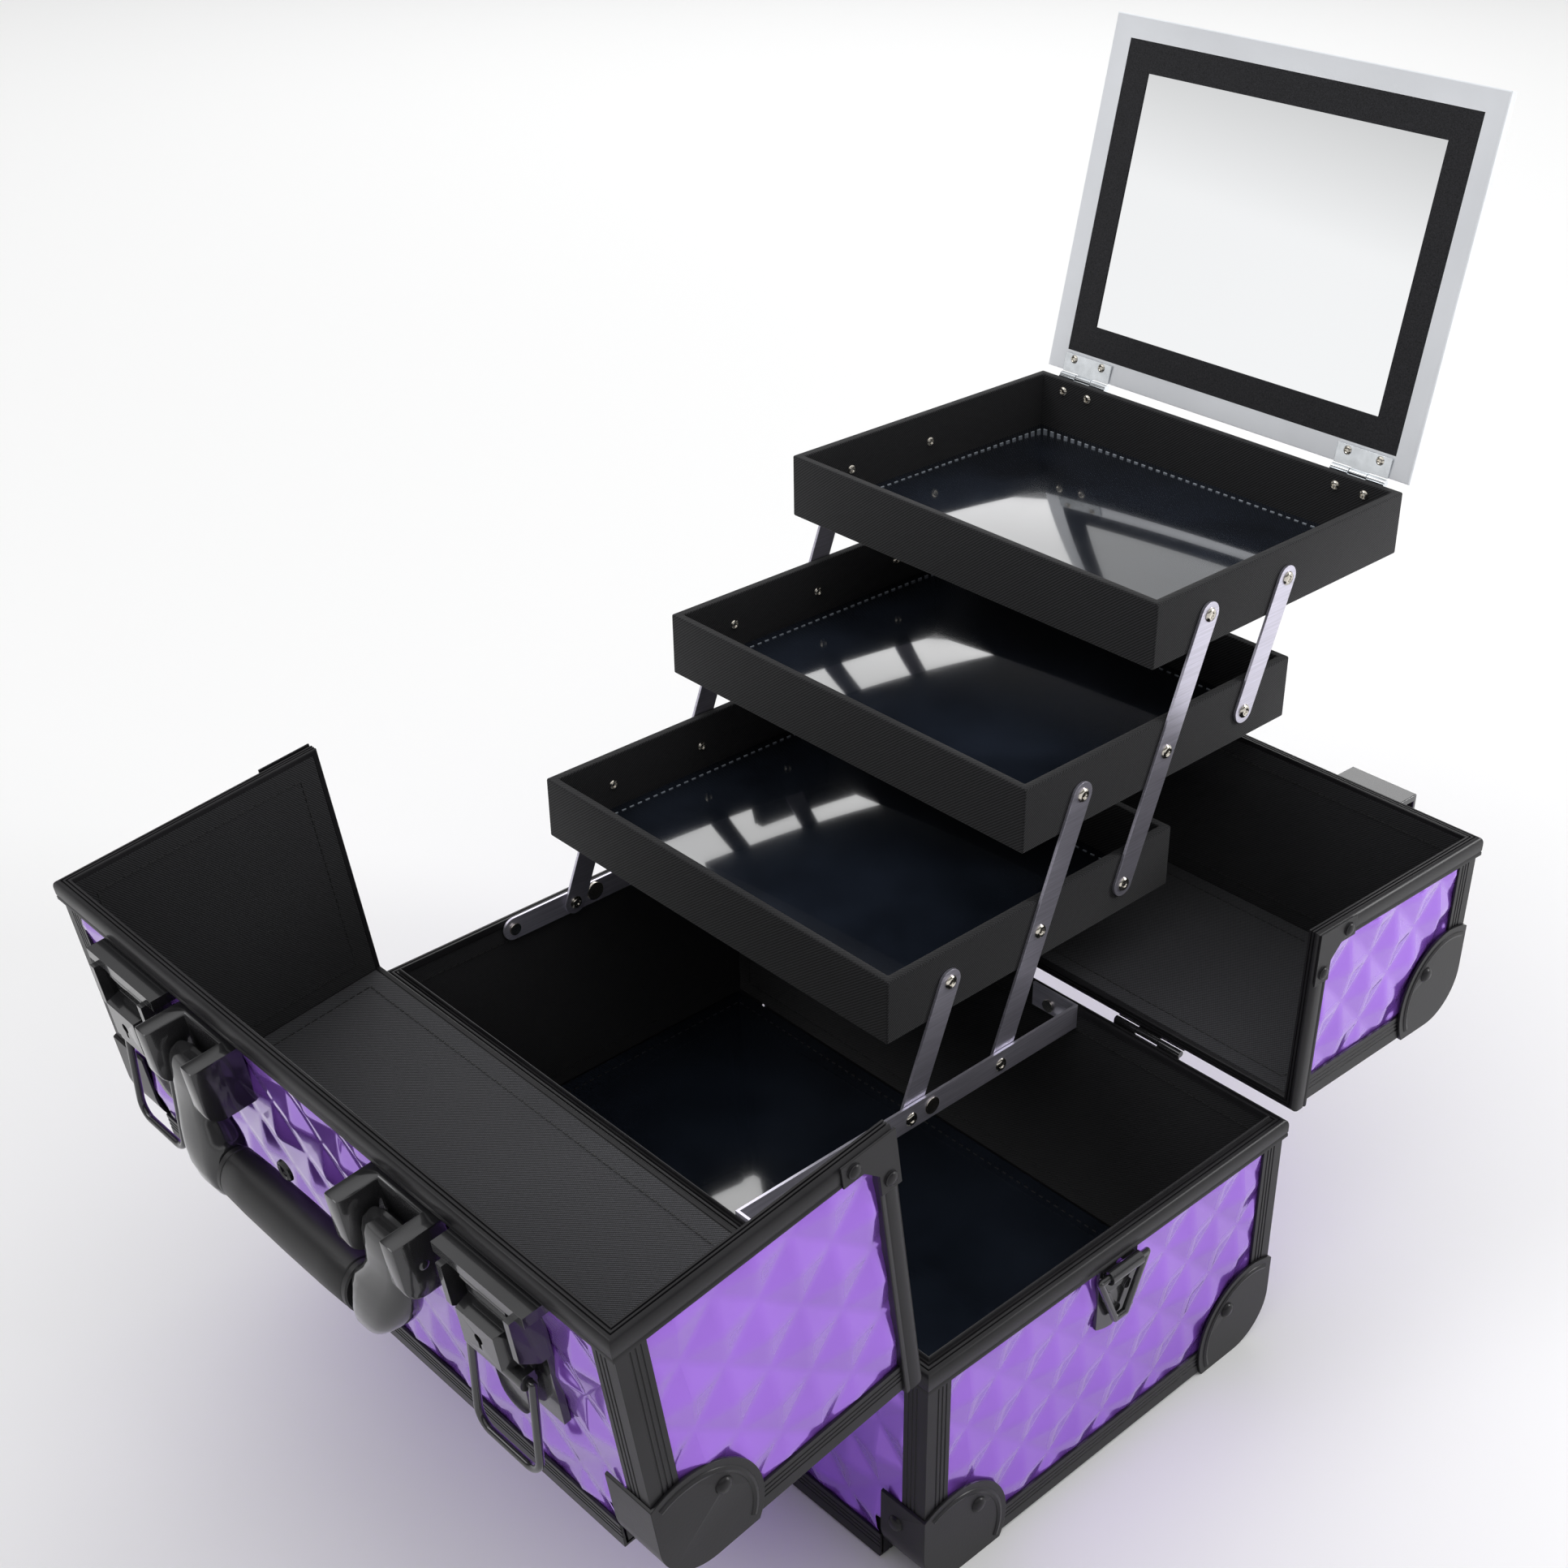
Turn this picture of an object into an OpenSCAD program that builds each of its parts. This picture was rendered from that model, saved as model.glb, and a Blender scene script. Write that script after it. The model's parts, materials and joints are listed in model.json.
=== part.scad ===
// Train case with two folding lid halves, three cantilever trays and a mirror lid.
// Millimetres. X runs along the case (+X is the end with the open compartment),
// Y runs from the handle side (-Y) to the back (+Y), Z is up. The origin is on
// the floor under the centre of the base. Everything is drawn as it stands open.

/* [Case] */
// Length over the edge rails
case_l = 340; // [300:1:420]
// Depth over the edge rails
case_w = 206; // [190:1:260]
// Height of the base to the top of its rim
base_h = 113; // [100:1:150]
// Height of each lid half, closed
lid_h = 115; // [114:1:150]
// Depth of the lid half that carries the handle
front_depth = 120.8; // [112:0.2:140]
// Gap between the two closed lid halves
split_gap = 0.4; // [0.3:0.1:1]
// Gap between the base and a closed lid
lid_gap = 0.3; // [0.3:0.1:1]

/* [Walls] */
// Thickness of a base wall, rail face to lining
base_wall = 4.5; // [4.2:0.1:6]
// Thickness of a lid wall, rail face to lining
lid_wall = 4; // [3.6:0.1:4.2]
// Thickness of the edge rails
rail_t = 1.1; // [0.9:0.1:1.6]
// Width of one leg of an edge rail
rail_leg = 12; // [9:0.5:16]
// Depth of the grooves in a rail
groove = 0.35; // [0.2:0.05:0.5]
// Thickness of the embossed panels
skin_t = 0.8; // [0.6:0.1:1.2]
// Thickness of the bottom board
floor_t = 3; // [2:0.5:5]
// Thickness of the covered floor pad
pad_t = 2; // [1:0.5:4]

/* [Rims] */
// Height of the rim extrusions
rim_h = 9; // [7:0.5:12]
// How far a rim stands proud of the rails
rim_proud = 1.4; // [1:0.1:2]
// Thickness of the inner lip of the base rim
lip_t = 0.8; // [0.6:0.1:0.8]
// Height of the inner lip above the rim
lip_up = 1.8; // [1:0.1:2.5]

/* [Corner protectors] */
// Thickness of a corner protector
corner_t = 1.2; // [0.8:0.1:1.6]
// Inside radius of the rounded corner
corner_r = 20; // [14:1:24]
// Length of a protector along the case
corner_x = 22; // [18:1:30]
// Radius of the curved edge of its end plate
corner_arc = 30; // [26:1:34]
// Radius of a small rivet head
stud_r = 3.2; // [2:0.1:4]
// Height of a small rivet head
stud_t = 0.7; // [0.4:0.1:1]

/* [Lid hinges] */
// Distance from the rail face to the hinge pin
hinge_off = 3; // [2.8:0.1:4]
// Radius of a hinge knuckle
knuckle_r = 1.5; // [1.4:0.1:2]
// Radius of a hinge pin
hinge_pin_r = 0.8; // [0.6:0.1:1]
// Length of a lid hinge
hinge_l = 36; // [24:1:60]
// Distance of the lid hinges from the middle
hinge_x = 95; // [60:1:120]
// How far the handle half is open, in degrees
front_open = 98; // [90:1:100]
// How far the back half is open, in degrees
back_open = 92; // [90:1:95]

/* [Trays] */
// Length of a tray
tray_l = 220; // [160:1:240]
// Depth of a tray
tray_w = 173; // [150:1:176]
// Height of a tray
tray_h = 30; // [22:0.5:30.2]
// Thickness of the tray walls
tray_wall = 4.2; // [2.6:0.1:5]
// Thickness of the tray floor
tray_floor = 2.4; // [1.6:0.1:4]
// Distance of the tray pivots below the tray rim
pivot_drop = 15; // [10:0.5:18]
// Distance of the first pivot from the front of a tray
pivot_in = 34; // [28:0.5:40]
// Distance of the last pivot from the back of a tray
pivot_back = 32.6; // [32.6:0.1:38]

/* [Tray arms] */
// Length between two pivots of an arm
arm_l = 61; // [56:0.5:61]
// Width of an arm
arm_w = 11.5; // [9:0.5:13]
// Thickness of an arm
arm_t = 1.3; // [1:0.1:1.6]
// Lean of the open arms above level, in degrees
arm_angle = 68.5; // [60:0.5:75]
// Y position of the first pivot on the base
pivot_y = -4; // [-6:0.5:0]
// Distance of the base pivots below the rim
pivot_z = 3.5; // [3:0.5:8]
// Clearance beside each arm
arm_gap = 0.25; // [0.2:0.05:0.3]
// Radius of a pivot rivet
rivet_r = 1.45; // [1:0.05:2]
// Radial clearance of an arm on its rivet
rivet_fit = 0.05; // [0.02:0.01:0.1]
// Radius of a rivet head
head_r = 3.2; // [2.5:0.1:4]
// Height of a rivet head
head_t = 0.6; // [0.4:0.05:0.6]

/* [Tray supports] */
// Thickness of the bracket and the bar
bracket_t = 1.2; // [1:0.1:1.2]
// Height of the bracket across the base
bracket_h = 12; // [10:0.5:14]
// Length of the bent ends of the bracket
flange_l = 24; // [16:1:36]
// Height of the far bar
bar_h = 11.5; // [10:0.5:13]
// Distance of the bar's fixing holes beyond its pivots
bar_over = 34; // [24:1:40]
// Radius of the stop behind the first arm
stop_r = 4.6; // [4:0.1:4.6]
// Distance of the stop behind the first pivot
stop_y = 11.7; // [11.7:0.1:14]

/* [Mirror] */
// Width of the mirror frame's face
frame_w = 10.5; // [8:0.5:14]
// Thickness of the mirror lid
frame_t = 4.8; // [4:0.1:4.8]
// Width of the fabric border round the glass
mat_w = 14.5; // [8:0.5:20]
// Gap between the tray rim and the closed mirror lid
mirror_gap = 1.2; // [1.1:0.1:1.4]
// How far the mirror lid is open, in degrees
mirror_open = 103; // [95:1:110]
// Length of a mirror hinge
mhinge_l = 30; // [20:1:40]
// Distance of the mirror hinges from the middle of the tray
mhinge_x = 84; // [60:1:90]

/* [Handle] */
// Distance of the handle brackets from the middle
grip_x = 62; // [55:1:64]
// Width of a handle bracket
ear_w = 40; // [34:1:40]
// Height of a handle bracket
ear_h = 19; // [16:0.5:22]
// Distance of the handle pivot from the split edge
handle_in = 23.8; // [22:0.2:30]
// Height of the handle pivot above the rail face
handle_up = 10; // [9.6:0.1:12]
// Drop of the grip below the pivot
handle_drop = 36; // [30:1:48]
// Radius of the grip
grip_r = 9; // [7:0.5:9]

/* [Latches] */
// Distance of the latches from the middle
latch_x = 112; // [108:1:116]
// Width of the latch lip
lip_w = 48; // [42:1:50]
// Length of a latch lever
lever_l = 56; // [50:1:60]
// Radius of the latch wire
wire_r = 1.5; // [1.2:0.1:1.6]
// Length of the wire bail
bail_l = 40; // [34:1:44]

/* [Side rings] */
// Width of the ring
ring_w = 27; // [24:1:32]
// Drop of the ring below its bar
ring_drop = 24; // [20:1:30]
// Height of the ring's bar below the rim
ring_z = 13; // [12.5:0.5:20]

/* [Hidden] */
$fn = 48;
eps = 0.01;

back_depth = case_w - front_depth - split_gap;
skin_in = rail_t;
board_in = rail_t + skin_t;
z0 = corner_t;
post_z0 = z0 + corner_r;
floor_z = z0 + rail_t;
hinge_h = rim_h - 0.5;
leaf_t = 0.8;
// Centre of a protector's curved edge, and where its two rivets sit
arc_y = 14;
arc_z = 12;
stud_x = 15;
stud_y = 29;
stud_z = 28;
bore_r = hinge_pin_r + 0.05;

inner_x = case_l/2 - base_wall;
lip_in = base_wall + lip_t;

// Distance between two pivots of a tray
pitch = (tray_w - pivot_in - pivot_back)/2;

far_x = -inner_x + 0.9 + head_t + bracket_t + arm_t + 2*arm_gap;
near_x = far_x + tray_l;
arm_x = arm_gap;
head_x = arm_gap + arm_t + arm_gap;

base_pz = base_h - pivot_z;
arm_dy = arm_l*cos(arm_angle);
arm_dz = arm_l*sin(arm_angle);
b1 = [pivot_y, base_pz];
b2 = [pivot_y + pitch, base_pz];
t1 = [b1[0] + arm_dy, b1[1] + arm_dz];
t2 = [t1[0] + pitch + arm_dy, t1[1] + arm_dz];
t3 = [t2[0] + pitch + arm_dy, t2[1] + arm_dz];

axis_y = t3[0] - pivot_in + tray_w + 2.2;
axis_z = t3[1] + pivot_drop + 0.3;
mknuckle_r = 1.6;

handle_u = front_depth - handle_in;
lever_u = front_depth - 17.8;
lever_up = 5;
bail_u = lever_u - 29;
bail_up = 7.5;
// Half depth of a handle bracket, the thickness of its ears and their rounding
ear_y = 13;
ear_t = 8;
ear_round = 8;
// Half width of the handle's arms between the ears, with 0.4 clear on each side
arm_half = ear_w/2 - ear_t - 0.4;
latch_half = 19;
catch_half = 17;
catch_t = rim_proud + 1.1;
catch_up = 15;
// Reach of a bail's legs from its middle, and the bend between leg and bar
bail_half = 16.8;
bail_bend = 7;
hang = front_open - 90;

black = [0.13, 0.125, 0.135];
gloss = [0.06, 0.06, 0.065];
purple = [0.56, 0.36, 0.8];
twill = [0.10, 0.10, 0.11];
metal = [0.72, 0.71, 0.78];
steel = [0.62, 0.62, 0.66];
white = [0.9, 0.9, 0.93];
film = [0.09, 0.1, 0.13];

// ---------- helpers ----------

// A box from its low corner to its high corner
module box(lo, hi) translate(lo) cube([hi[0] - lo[0], hi[1] - lo[1], hi[2] - lo[2]]);

// A cylinder along X from x0 to x1
module rod_x(r, x0, x1) translate([x0, 0, 0]) rotate([0, 90, 0]) cylinder(r = r, h = x1 - x0);

// Copies on both ends of the case
module both_x() for (s = [0, 1]) mirror([s, 0, 0]) children();

// Copies on both sides of the case
module both_y() for (s = [0, 1]) mirror([0, s, 0]) children();

// One groove of a rail leg, a shallow channel beside the leg's face
module rail_grooves() for (k = [0 : 2])
    translate([rail_leg*(0.42 + 0.17*k), -eps]) square([0.7, groove + eps]);

// Grooved angle section with its outer corner at the origin
module rail_section() difference() {
    union() {
        square([rail_leg, rail_t]);
        square([rail_t, rail_leg]);
    }
    rail_grooves();
    mirror([1, -1]) rail_grooves();
}

// The rounded corner that a protector covers, as a cut along X
module corner_cut(x0, x1, r) difference() {
    box([x0, -1, -1], [x1, corner_r, corner_r]);
    translate([0, corner_r, corner_r]) rod_x(r, x0 - 1, x1 + 1);
}

// Outline of a protector's end plate: Y and Z from the outer corner
module plate_outline(r) intersection() {
    union() {
        translate([r, r]) circle(r);
        translate([r, 0]) square([60, 60]);
        translate([0, r]) square([60, 60]);
    }
    translate([arc_y + corner_t, arc_z + corner_t]) circle(corner_arc);
}

// One protector, with its outer corner at the origin, spreading to +X +Y +Z
module protector() {
    rotate([90, 0, 90]) {
        linear_extrude(corner_t) plate_outline(corner_r + corner_t);
        translate([0, 0, corner_t - eps]) linear_extrude(corner_x) difference() {
            plate_outline(corner_r + corner_t);
            translate([corner_t, corner_t]) plate_outline(corner_r);
        }
    }
    translate([0, stud_y, stud_z]) mirror([1, 0, 0]) rod_x(stud_r, 0, stud_t);
    translate([stud_x, 0, stud_z]) rotate([90, 0, 0]) cylinder(r = stud_r, h = stud_t);
}

// Leaf of a butt hinge seen from its pin: plate from z0 to z1 at depth y0
module leaf(l, y0, z0, z1) box([-l/2, y0, z0], [l/2, y0 + leaf_t, z1]);

// ---------- placing ----------

// Closed lid coordinates to the open handle half: Y inward, Z up from the lid's lower edge
module on_front() translate([0, -case_w/2 - hinge_off, base_h + lid_gap/2])
    rotate([front_open, 0, 0]) translate([0, hinge_off, lid_gap/2]) children();

// The same for the open back half
module on_back() mirror([0, 1, 0]) translate([0, -case_w/2 - hinge_off, base_h + lid_gap/2])
    rotate([back_open, 0, 0]) translate([0, hinge_off, lid_gap/2]) children();

// Onto the outside of the handle half's top
module on_top() on_front() translate([0, 0, lid_h]) children();

// Near and far side of the trays: X counts away from the tray
module near_side() translate([near_x, 0, 0]) children();
module far_side() translate([far_x, 0, 0]) mirror([1, 0, 0]) children();
module tray_sides() { near_side() children(); far_side() children(); }

// A place in the YZ plane
module yz(p) translate([0, p[0], p[1]]) children();

// Closed mirror coordinates to the open mirror: Y backward, Z up, from the hinge pin
module on_mirror() translate([near_x - tray_l/2, axis_y, axis_z])
    rotate([-mirror_open, 0, 0]) children();

// ---------- base ----------

module base_corner_cuts() both_x() both_y() translate([0, -case_w/2, z0])
    corner_cut(case_l/2 - corner_x - corner_t, case_l/2 + 1, corner_r - 0.1);

module base_front_wall() color(twill) difference() {
    box([-inner_x, -case_w/2 + board_in, floor_z],
        [inner_x, -case_w/2 + base_wall, base_h - rail_t]);
    base_corner_cuts();
    fixing_holes();
}

module base_back_wall() color(twill) difference() {
    mirror([0, 1, 0]) box([-inner_x, -case_w/2 + board_in, floor_z],
        [inner_x, -case_w/2 + base_wall, base_h - rail_t]);
    base_corner_cuts();
    fixing_holes();
}

module base_end_walls() color(twill) difference() {
    both_x() box([inner_x, -case_w/2 + board_in, floor_z],
        [case_l/2 - board_in, case_w/2 - board_in, base_h - rail_t]);
    base_corner_cuts();
    fixing_holes();
}

module base_floor() color(twill) difference() {
    box([-inner_x, -case_w/2 + base_wall, floor_z], [inner_x, case_w/2 - base_wall, floor_z + floor_t]);
    base_corner_cuts();
}

module floor_pad() color(film) difference() {
    inset = base_wall + 0.8;
    box([-case_l/2 + inset, -case_w/2 + inset, floor_z + floor_t],
        [case_l/2 - inset, case_w/2 - inset, floor_z + floor_t + pad_t]);
    base_corner_cuts();
}

// Side and end panels, and an underside panel level with the protectors
module base_panels() color(purple) {
    difference() {
        union() {
            both_y() box([-case_l/2 + board_in + eps, -case_w/2 + skin_in, floor_z],
                [case_l/2 - board_in - eps, -case_w/2 + board_in, base_h - rim_h]);
            both_x() box([case_l/2 - board_in, -case_w/2 + skin_in, floor_z],
                [case_l/2 - skin_in, case_w/2 - skin_in, base_h - rim_h]);
        }
        base_corner_cuts();
    }
    box([-case_l/2 + corner_x + corner_t + 1, -case_w/2 + rail_leg + 0.1, 0],
        [case_l/2 - corner_x - corner_t - 1, case_w/2 - rail_leg - 0.1, floor_z]);
}

module corner_posts() color(black) both_x() both_y()
    translate([-case_l/2, -case_w/2, post_z0])
        linear_extrude(base_h - rim_h - post_z0) rail_section();

module bottom_rails() color(black) {
    both_y() translate([-case_l/2 + corner_x + corner_t, -case_w/2, z0])
        rotate([90, 0, 90]) linear_extrude(case_l - 2*corner_x - 2*corner_t) rail_section();
    both_x() translate([-case_l/2, case_w/2 - corner_r, z0])
        rotate([90, 0, 0]) linear_extrude(case_w - 2*corner_r) rail_section();
}

module rim_ring(out, lo, hi, wall) difference() {
    box([-case_l/2 - out, -case_w/2 - out, lo], [case_l/2 + out, case_w/2 + out, hi]);
    box([-case_l/2 + wall, -case_w/2 + wall, lo - 1], [case_l/2 - wall, case_w/2 - wall, hi + 1]);
}

// Room for the hinge knuckles in a rim
module hinge_room() both_x() translate([hinge_x, -case_w/2 - hinge_off, base_h + lid_gap/2])
    rod_x(knuckle_r + 0.4, -hinge_l/2 - 1, hinge_l/2 + 1);

module base_rim() color(black) difference() {
    union() {
        rim_ring(rim_proud, base_h - rim_h, base_h - rail_t, board_in);
        rim_ring(rim_proud, base_h - rail_t, base_h, base_wall);
        difference() {
            box([-case_l/2 + base_wall - eps, -case_w/2 + base_wall - eps, base_h - rail_t],
                [case_l/2 - base_wall + eps, case_w/2 - base_wall + eps, base_h + lip_up]);
            box([-case_l/2 + lip_in, -case_w/2 + lip_in, base_h - 9],
                [case_l/2 - lip_in, case_w/2 - lip_in, base_h + 9]);
        }
    }
    both_y() hinge_room();
}

module base_corners() color(black) both_x() both_y()
    translate([-case_l/2 - corner_t, -case_w/2 - corner_t, 0]) protector();

// Plate with a rolled loop that holds a ring on the end of the case
module ring_plate() {
    x = case_l/2 - skin_in;
    z = base_h - ring_z;
    difference() {
        union() {
            translate([x, 0, z]) rotate([90, 0, 90]) linear_extrude(1.5) intersection() {
                translate([-11, -30]) square([22, 33]);
                translate([0, -8]) circle(22);
            }
            translate([x + 4.1, -9, z]) rotate([-90, 0, 0]) cylinder(r = 3, h = 18);
        }
        translate([x + 4.1, -10, z]) rotate([-90, 0, 0]) cylinder(r = wire_r + 0.1, h = 20);
    }
    for (y = [-6, 6]) translate([x + 1.5, y, z - 13]) rod_x(2.2, 0, 0.7);
    translate([x + 1.5, 0, z - 22]) rod_x(2.2, 0, 0.7);
}

module ring_plates() color(gloss) both_x() ring_plate();

// Three-sided wire ring that hangs from the plate's loop
module ring_wire() translate([case_l/2 - skin_in + 4.1, 0, base_h - ring_z]) {
    h = ring_w/2;
    translate([0, -h, 0]) rotate([-90, 0, 0]) cylinder(r = wire_r, h = ring_w, $fn = 32);
    hull() {
        translate([0, h, 0]) sphere(wire_r, $fn = 24);
        translate([0, 3, -ring_drop]) sphere(wire_r, $fn = 24);
    }
    hull() {
        translate([0, -h, 0]) sphere(wire_r, $fn = 24);
        translate([0, -3, -ring_drop]) sphere(wire_r, $fn = 24);
    }
    hull() for (y = [-3, 3]) translate([0, y, -ring_drop]) sphere(wire_r, $fn = 24);
}

module ring_near() color(gloss) ring_wire();
module ring_far() color(gloss) mirror([1, 0, 0]) ring_wire();

// ---------- tray supports ----------

bracket_x = near_x + head_x;
bracket_z = base_h - pivot_z - bracket_h/2 + 1;
flange_y = case_w/2 - lip_in;
screw_z = bracket_z + 4;

module fixing_holes() {
    translate([bracket_x + bracket_t + flange_l*0.6, -flange_y - 6, screw_z])
        rotate([-90, 0, 0]) cylinder(r = 1.5, h = 12);
    translate([bracket_x - flange_l*0.6, flange_y - 6, screw_z])
        rotate([-90, 0, 0]) cylinder(r = 1.5, h = 12);
    for (y = [b1[0] - bar_over, b2[0] + bar_over]) far_side()
        yz([y, base_pz]) rod_x(1.5, head_x - 2, head_x + 6);
}

// Flat bar across the base whose ends are bent to lie on the front and back walls
module tray_bracket() color(metal) difference() {
    translate([bracket_x, 0, bracket_z]) linear_extrude(bracket_h) polygon([
        [0, -flange_y], [bracket_t + flange_l, -flange_y],
        [bracket_t + flange_l, -flange_y + bracket_t], [bracket_t, -flange_y + bracket_t],
        [bracket_t, flange_y], [-flange_l, flange_y],
        [-flange_l, flange_y - bracket_t], [0, flange_y - bracket_t]]);
    for (p = [b1, b2]) yz(p) rod_x(rivet_r, bracket_x - 1, bracket_x + 3);
    yz([b1[0] + stop_y, base_pz + 1]) rod_x(rivet_r, bracket_x - 1, bracket_x + 3);
    fixing_holes();
}

module tray_bar() color(metal) far_side() translate([head_x, 0, base_pz]) difference() {
    rotate([90, 0, 90]) linear_extrude(bracket_t) union() {
        translate([b1[0] - bar_over, -bar_h/2]) square([pitch + 2*bar_over, bar_h]);
        for (y = [b1[0] - bar_over, b2[0] + bar_over]) translate([y, 0]) circle(bar_h/2);
    }
    for (y = [b1[0] - bar_over, b1[0], b2[0], b2[0] + bar_over])
        translate([0, y, 0]) rod_x(rivet_r, -1, 3);
    translate([0, b1[0] + stop_y, 1]) rod_x(rivet_r, -1, 3);
}

// Bolt with a sleeve that the first arm leans on
module stop_bolts() color(steel) tray_sides() yz([b1[0] + stop_y, base_pz + 1]) {
    rod_x(stop_r, 0.2, head_x);
    rod_x(rivet_r, head_x - eps, head_x + bracket_t);
    rod_x(4, head_x + bracket_t, head_x + bracket_t + head_t);
}

module base_rivets() color(steel) tray_sides() for (p = [b1, b2]) yz(p) {
    rod_x(rivet_r, -head_t, head_x + bracket_t);
    rod_x(head_r, -head_t, 0);
    rod_x(head_r, head_x + bracket_t, head_x + bracket_t + head_t);
}

module fixing_screws() color(steel) {
    translate([bracket_x + bracket_t + flange_l*0.6, -flange_y + bracket_t, screw_z]) {
        rotate([90, 0, 0]) cylinder(r = 1.5, h = bracket_t + lip_t + 2);
        rotate([-90, 0, 0]) cylinder(r = 3, h = 1);
    }
    translate([bracket_x - flange_l*0.6, flange_y - bracket_t, screw_z]) {
        rotate([-90, 0, 0]) cylinder(r = 1.5, h = bracket_t + lip_t + 2);
        rotate([90, 0, 0]) cylinder(r = 3, h = 1);
    }
    for (y = [b1[0] - bar_over, b2[0] + bar_over]) far_side() yz([y, base_pz]) {
        rod_x(rivet_r, head_x - 1, head_x + bracket_t + 3.4);
        rod_x(3, head_x - 1, head_x);
        rod_x(pivot_z - rail_t - 0.1, head_x + bracket_t, inner_x + far_x, $fn = 6);
    }
}

// ---------- lid hinges ----------

// Knuckles of a lid hinge around its pin: the outer two, or the middle one
module outer_knuckles() for (s = [0, 1]) mirror([s, 0, 0])
    rod_x(knuckle_r, hinge_l/6 + 0.15, hinge_l/2);

module base_hinges() color(gloss) both_y() both_x()
    translate([hinge_x, -case_w/2 - hinge_off, base_h + lid_gap/2]) {
        outer_knuckles();
        rod_x(hinge_pin_r, -hinge_l/2, hinge_l/2);
        y = hinge_off - rim_proud - leaf_t;
        box([-hinge_l/2, y, -hinge_h], [hinge_l/2, y + leaf_t, -knuckle_r - 0.4]);
        both_x() box([hinge_l/6 + 0.15, y, -knuckle_r - 0.5], [hinge_l/2, y + leaf_t, 0]);
    }

// Lid leaf, in closed lid coordinates
module lid_leaf() translate([hinge_x, -hinge_off, -lid_gap/2]) difference() {
    union() {
        rod_x(knuckle_r, -hinge_l/6 + 0.15, hinge_l/6 - 0.15);
        y = hinge_off - rim_proud - leaf_t;
        box([-hinge_l/2, y, knuckle_r + 0.4], [hinge_l/2, y + leaf_t, hinge_h]);
        box([-hinge_l/6 + 0.15, y, 0], [hinge_l/6 - 0.15, y + leaf_t, knuckle_r + 0.5]);
    }
    rod_x(bore_r, -hinge_l, hinge_l);
}

module front_hinge_leaves() color(gloss) on_front() both_x() lid_leaf();
module back_hinge_leaves() color(gloss) on_back() both_x() lid_leaf();

// ---------- lid halves, in closed lid coordinates ----------

module lid_corner_cuts() both_x() translate([0, 0, lid_h]) mirror([0, 0, 1])
    corner_cut(case_l/2 - corner_x - corner_t, case_l/2 + 1, corner_r - 0.1);

module lid_wall_board() difference() {
    box([-case_l/2 + lid_wall, board_in, rail_t], [case_l/2 - lid_wall, lid_wall, lid_h - board_in]);
    lid_corner_cuts();
}

module lid_top_board(d) difference() {
    box([-case_l/2 + lid_wall, lid_wall, lid_h - lid_wall],
        [case_l/2 - lid_wall, d - rail_t, lid_h - board_in]);
    lid_corner_cuts();
}

module lid_cheek_boards(d) difference() {
    both_x() box([case_l/2 - lid_wall, board_in, rail_t],
        [case_l/2 - board_in, d - rail_t, lid_h - board_in]);
    lid_corner_cuts();
}

module lid_panels(d) difference() {
    union() {
        box([-case_l/2 + board_in + eps, skin_in, rim_h],
            [case_l/2 - board_in - eps, board_in, lid_h - board_in - eps]);
        box([-case_l/2 + board_in + eps, skin_in, lid_h - board_in],
            [case_l/2 - board_in - eps, d - rim_h, lid_h - skin_in]);
        both_x() box([case_l/2 - board_in, skin_in, rim_h],
            [case_l/2 - skin_in, d - rim_h, lid_h - skin_in]);
    }
    lid_corner_cuts();
}

// Rim round the lower edge and the split edge of a lid half
module lid_rim(d) difference() {
    union() {
        difference() {
            box([-case_l/2 - rim_proud, -rim_proud, 0], [case_l/2 + rim_proud, d, rim_h]);
            box([-case_l/2 + board_in, board_in, rail_t],
                [case_l/2 - board_in, d - rail_t, rim_h + 1]);
            box([-case_l/2 + lid_wall, lid_wall, -1], [case_l/2 - lid_wall, d + 1, rim_h + 1]);
        }
        difference() {
            box([-case_l/2 - rim_proud, d - rim_h, 0],
                [case_l/2 + rim_proud, d, lid_h + rim_proud]);
            box([-case_l/2 + board_in, d - rim_h - 1, -1],
                [case_l/2 - board_in, d - rail_t, lid_h - board_in]);
            box([-case_l/2 + lid_wall, d - rim_h - 1, -1],
                [case_l/2 - lid_wall, d + 1, lid_h - lid_wall]);
        }
    }
    both_x() translate([hinge_x, -hinge_off, -lid_gap/2])
        rod_x(knuckle_r + 0.4, -hinge_l/2 - 1, hinge_l/2 + 1);
}

module lid_rails(d) {
    both_x() translate([-case_l/2, 0, rim_h])
        linear_extrude(lid_h - corner_r - rim_h) rail_section();
    both_x() translate([-case_l/2, corner_r, lid_h]) rotate([-90, 0, 0])
        linear_extrude(d - rim_h - corner_r) rail_section();
    translate([-case_l/2 + corner_x + corner_t, 0, lid_h]) mirror([0, 0, 1])
        rotate([90, 0, 90]) linear_extrude(case_l - 2*corner_x - 2*corner_t) rail_section();
}

module lid_corners() both_x()
    translate([-case_l/2 - corner_t, -corner_t, lid_h + corner_t]) mirror([0, 0, 1]) protector();

// Riveted angle plates where the split edge meets the lower edge
module lid_braces(d) both_x() translate([case_l/2 + rim_proud, d, 0]) {
    rotate([90, 0, 90]) linear_extrude(0.8) polygon([[0, 0], [0, 24], [-9, 24], [-9, 15],
        [-15, 9], [-24, 9], [-24, 0]]);
    for (p = [[-4.5, 19], [-19, 4.5]]) yz(p) rod_x(2.8, 0.8, 1.6);
}

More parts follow.
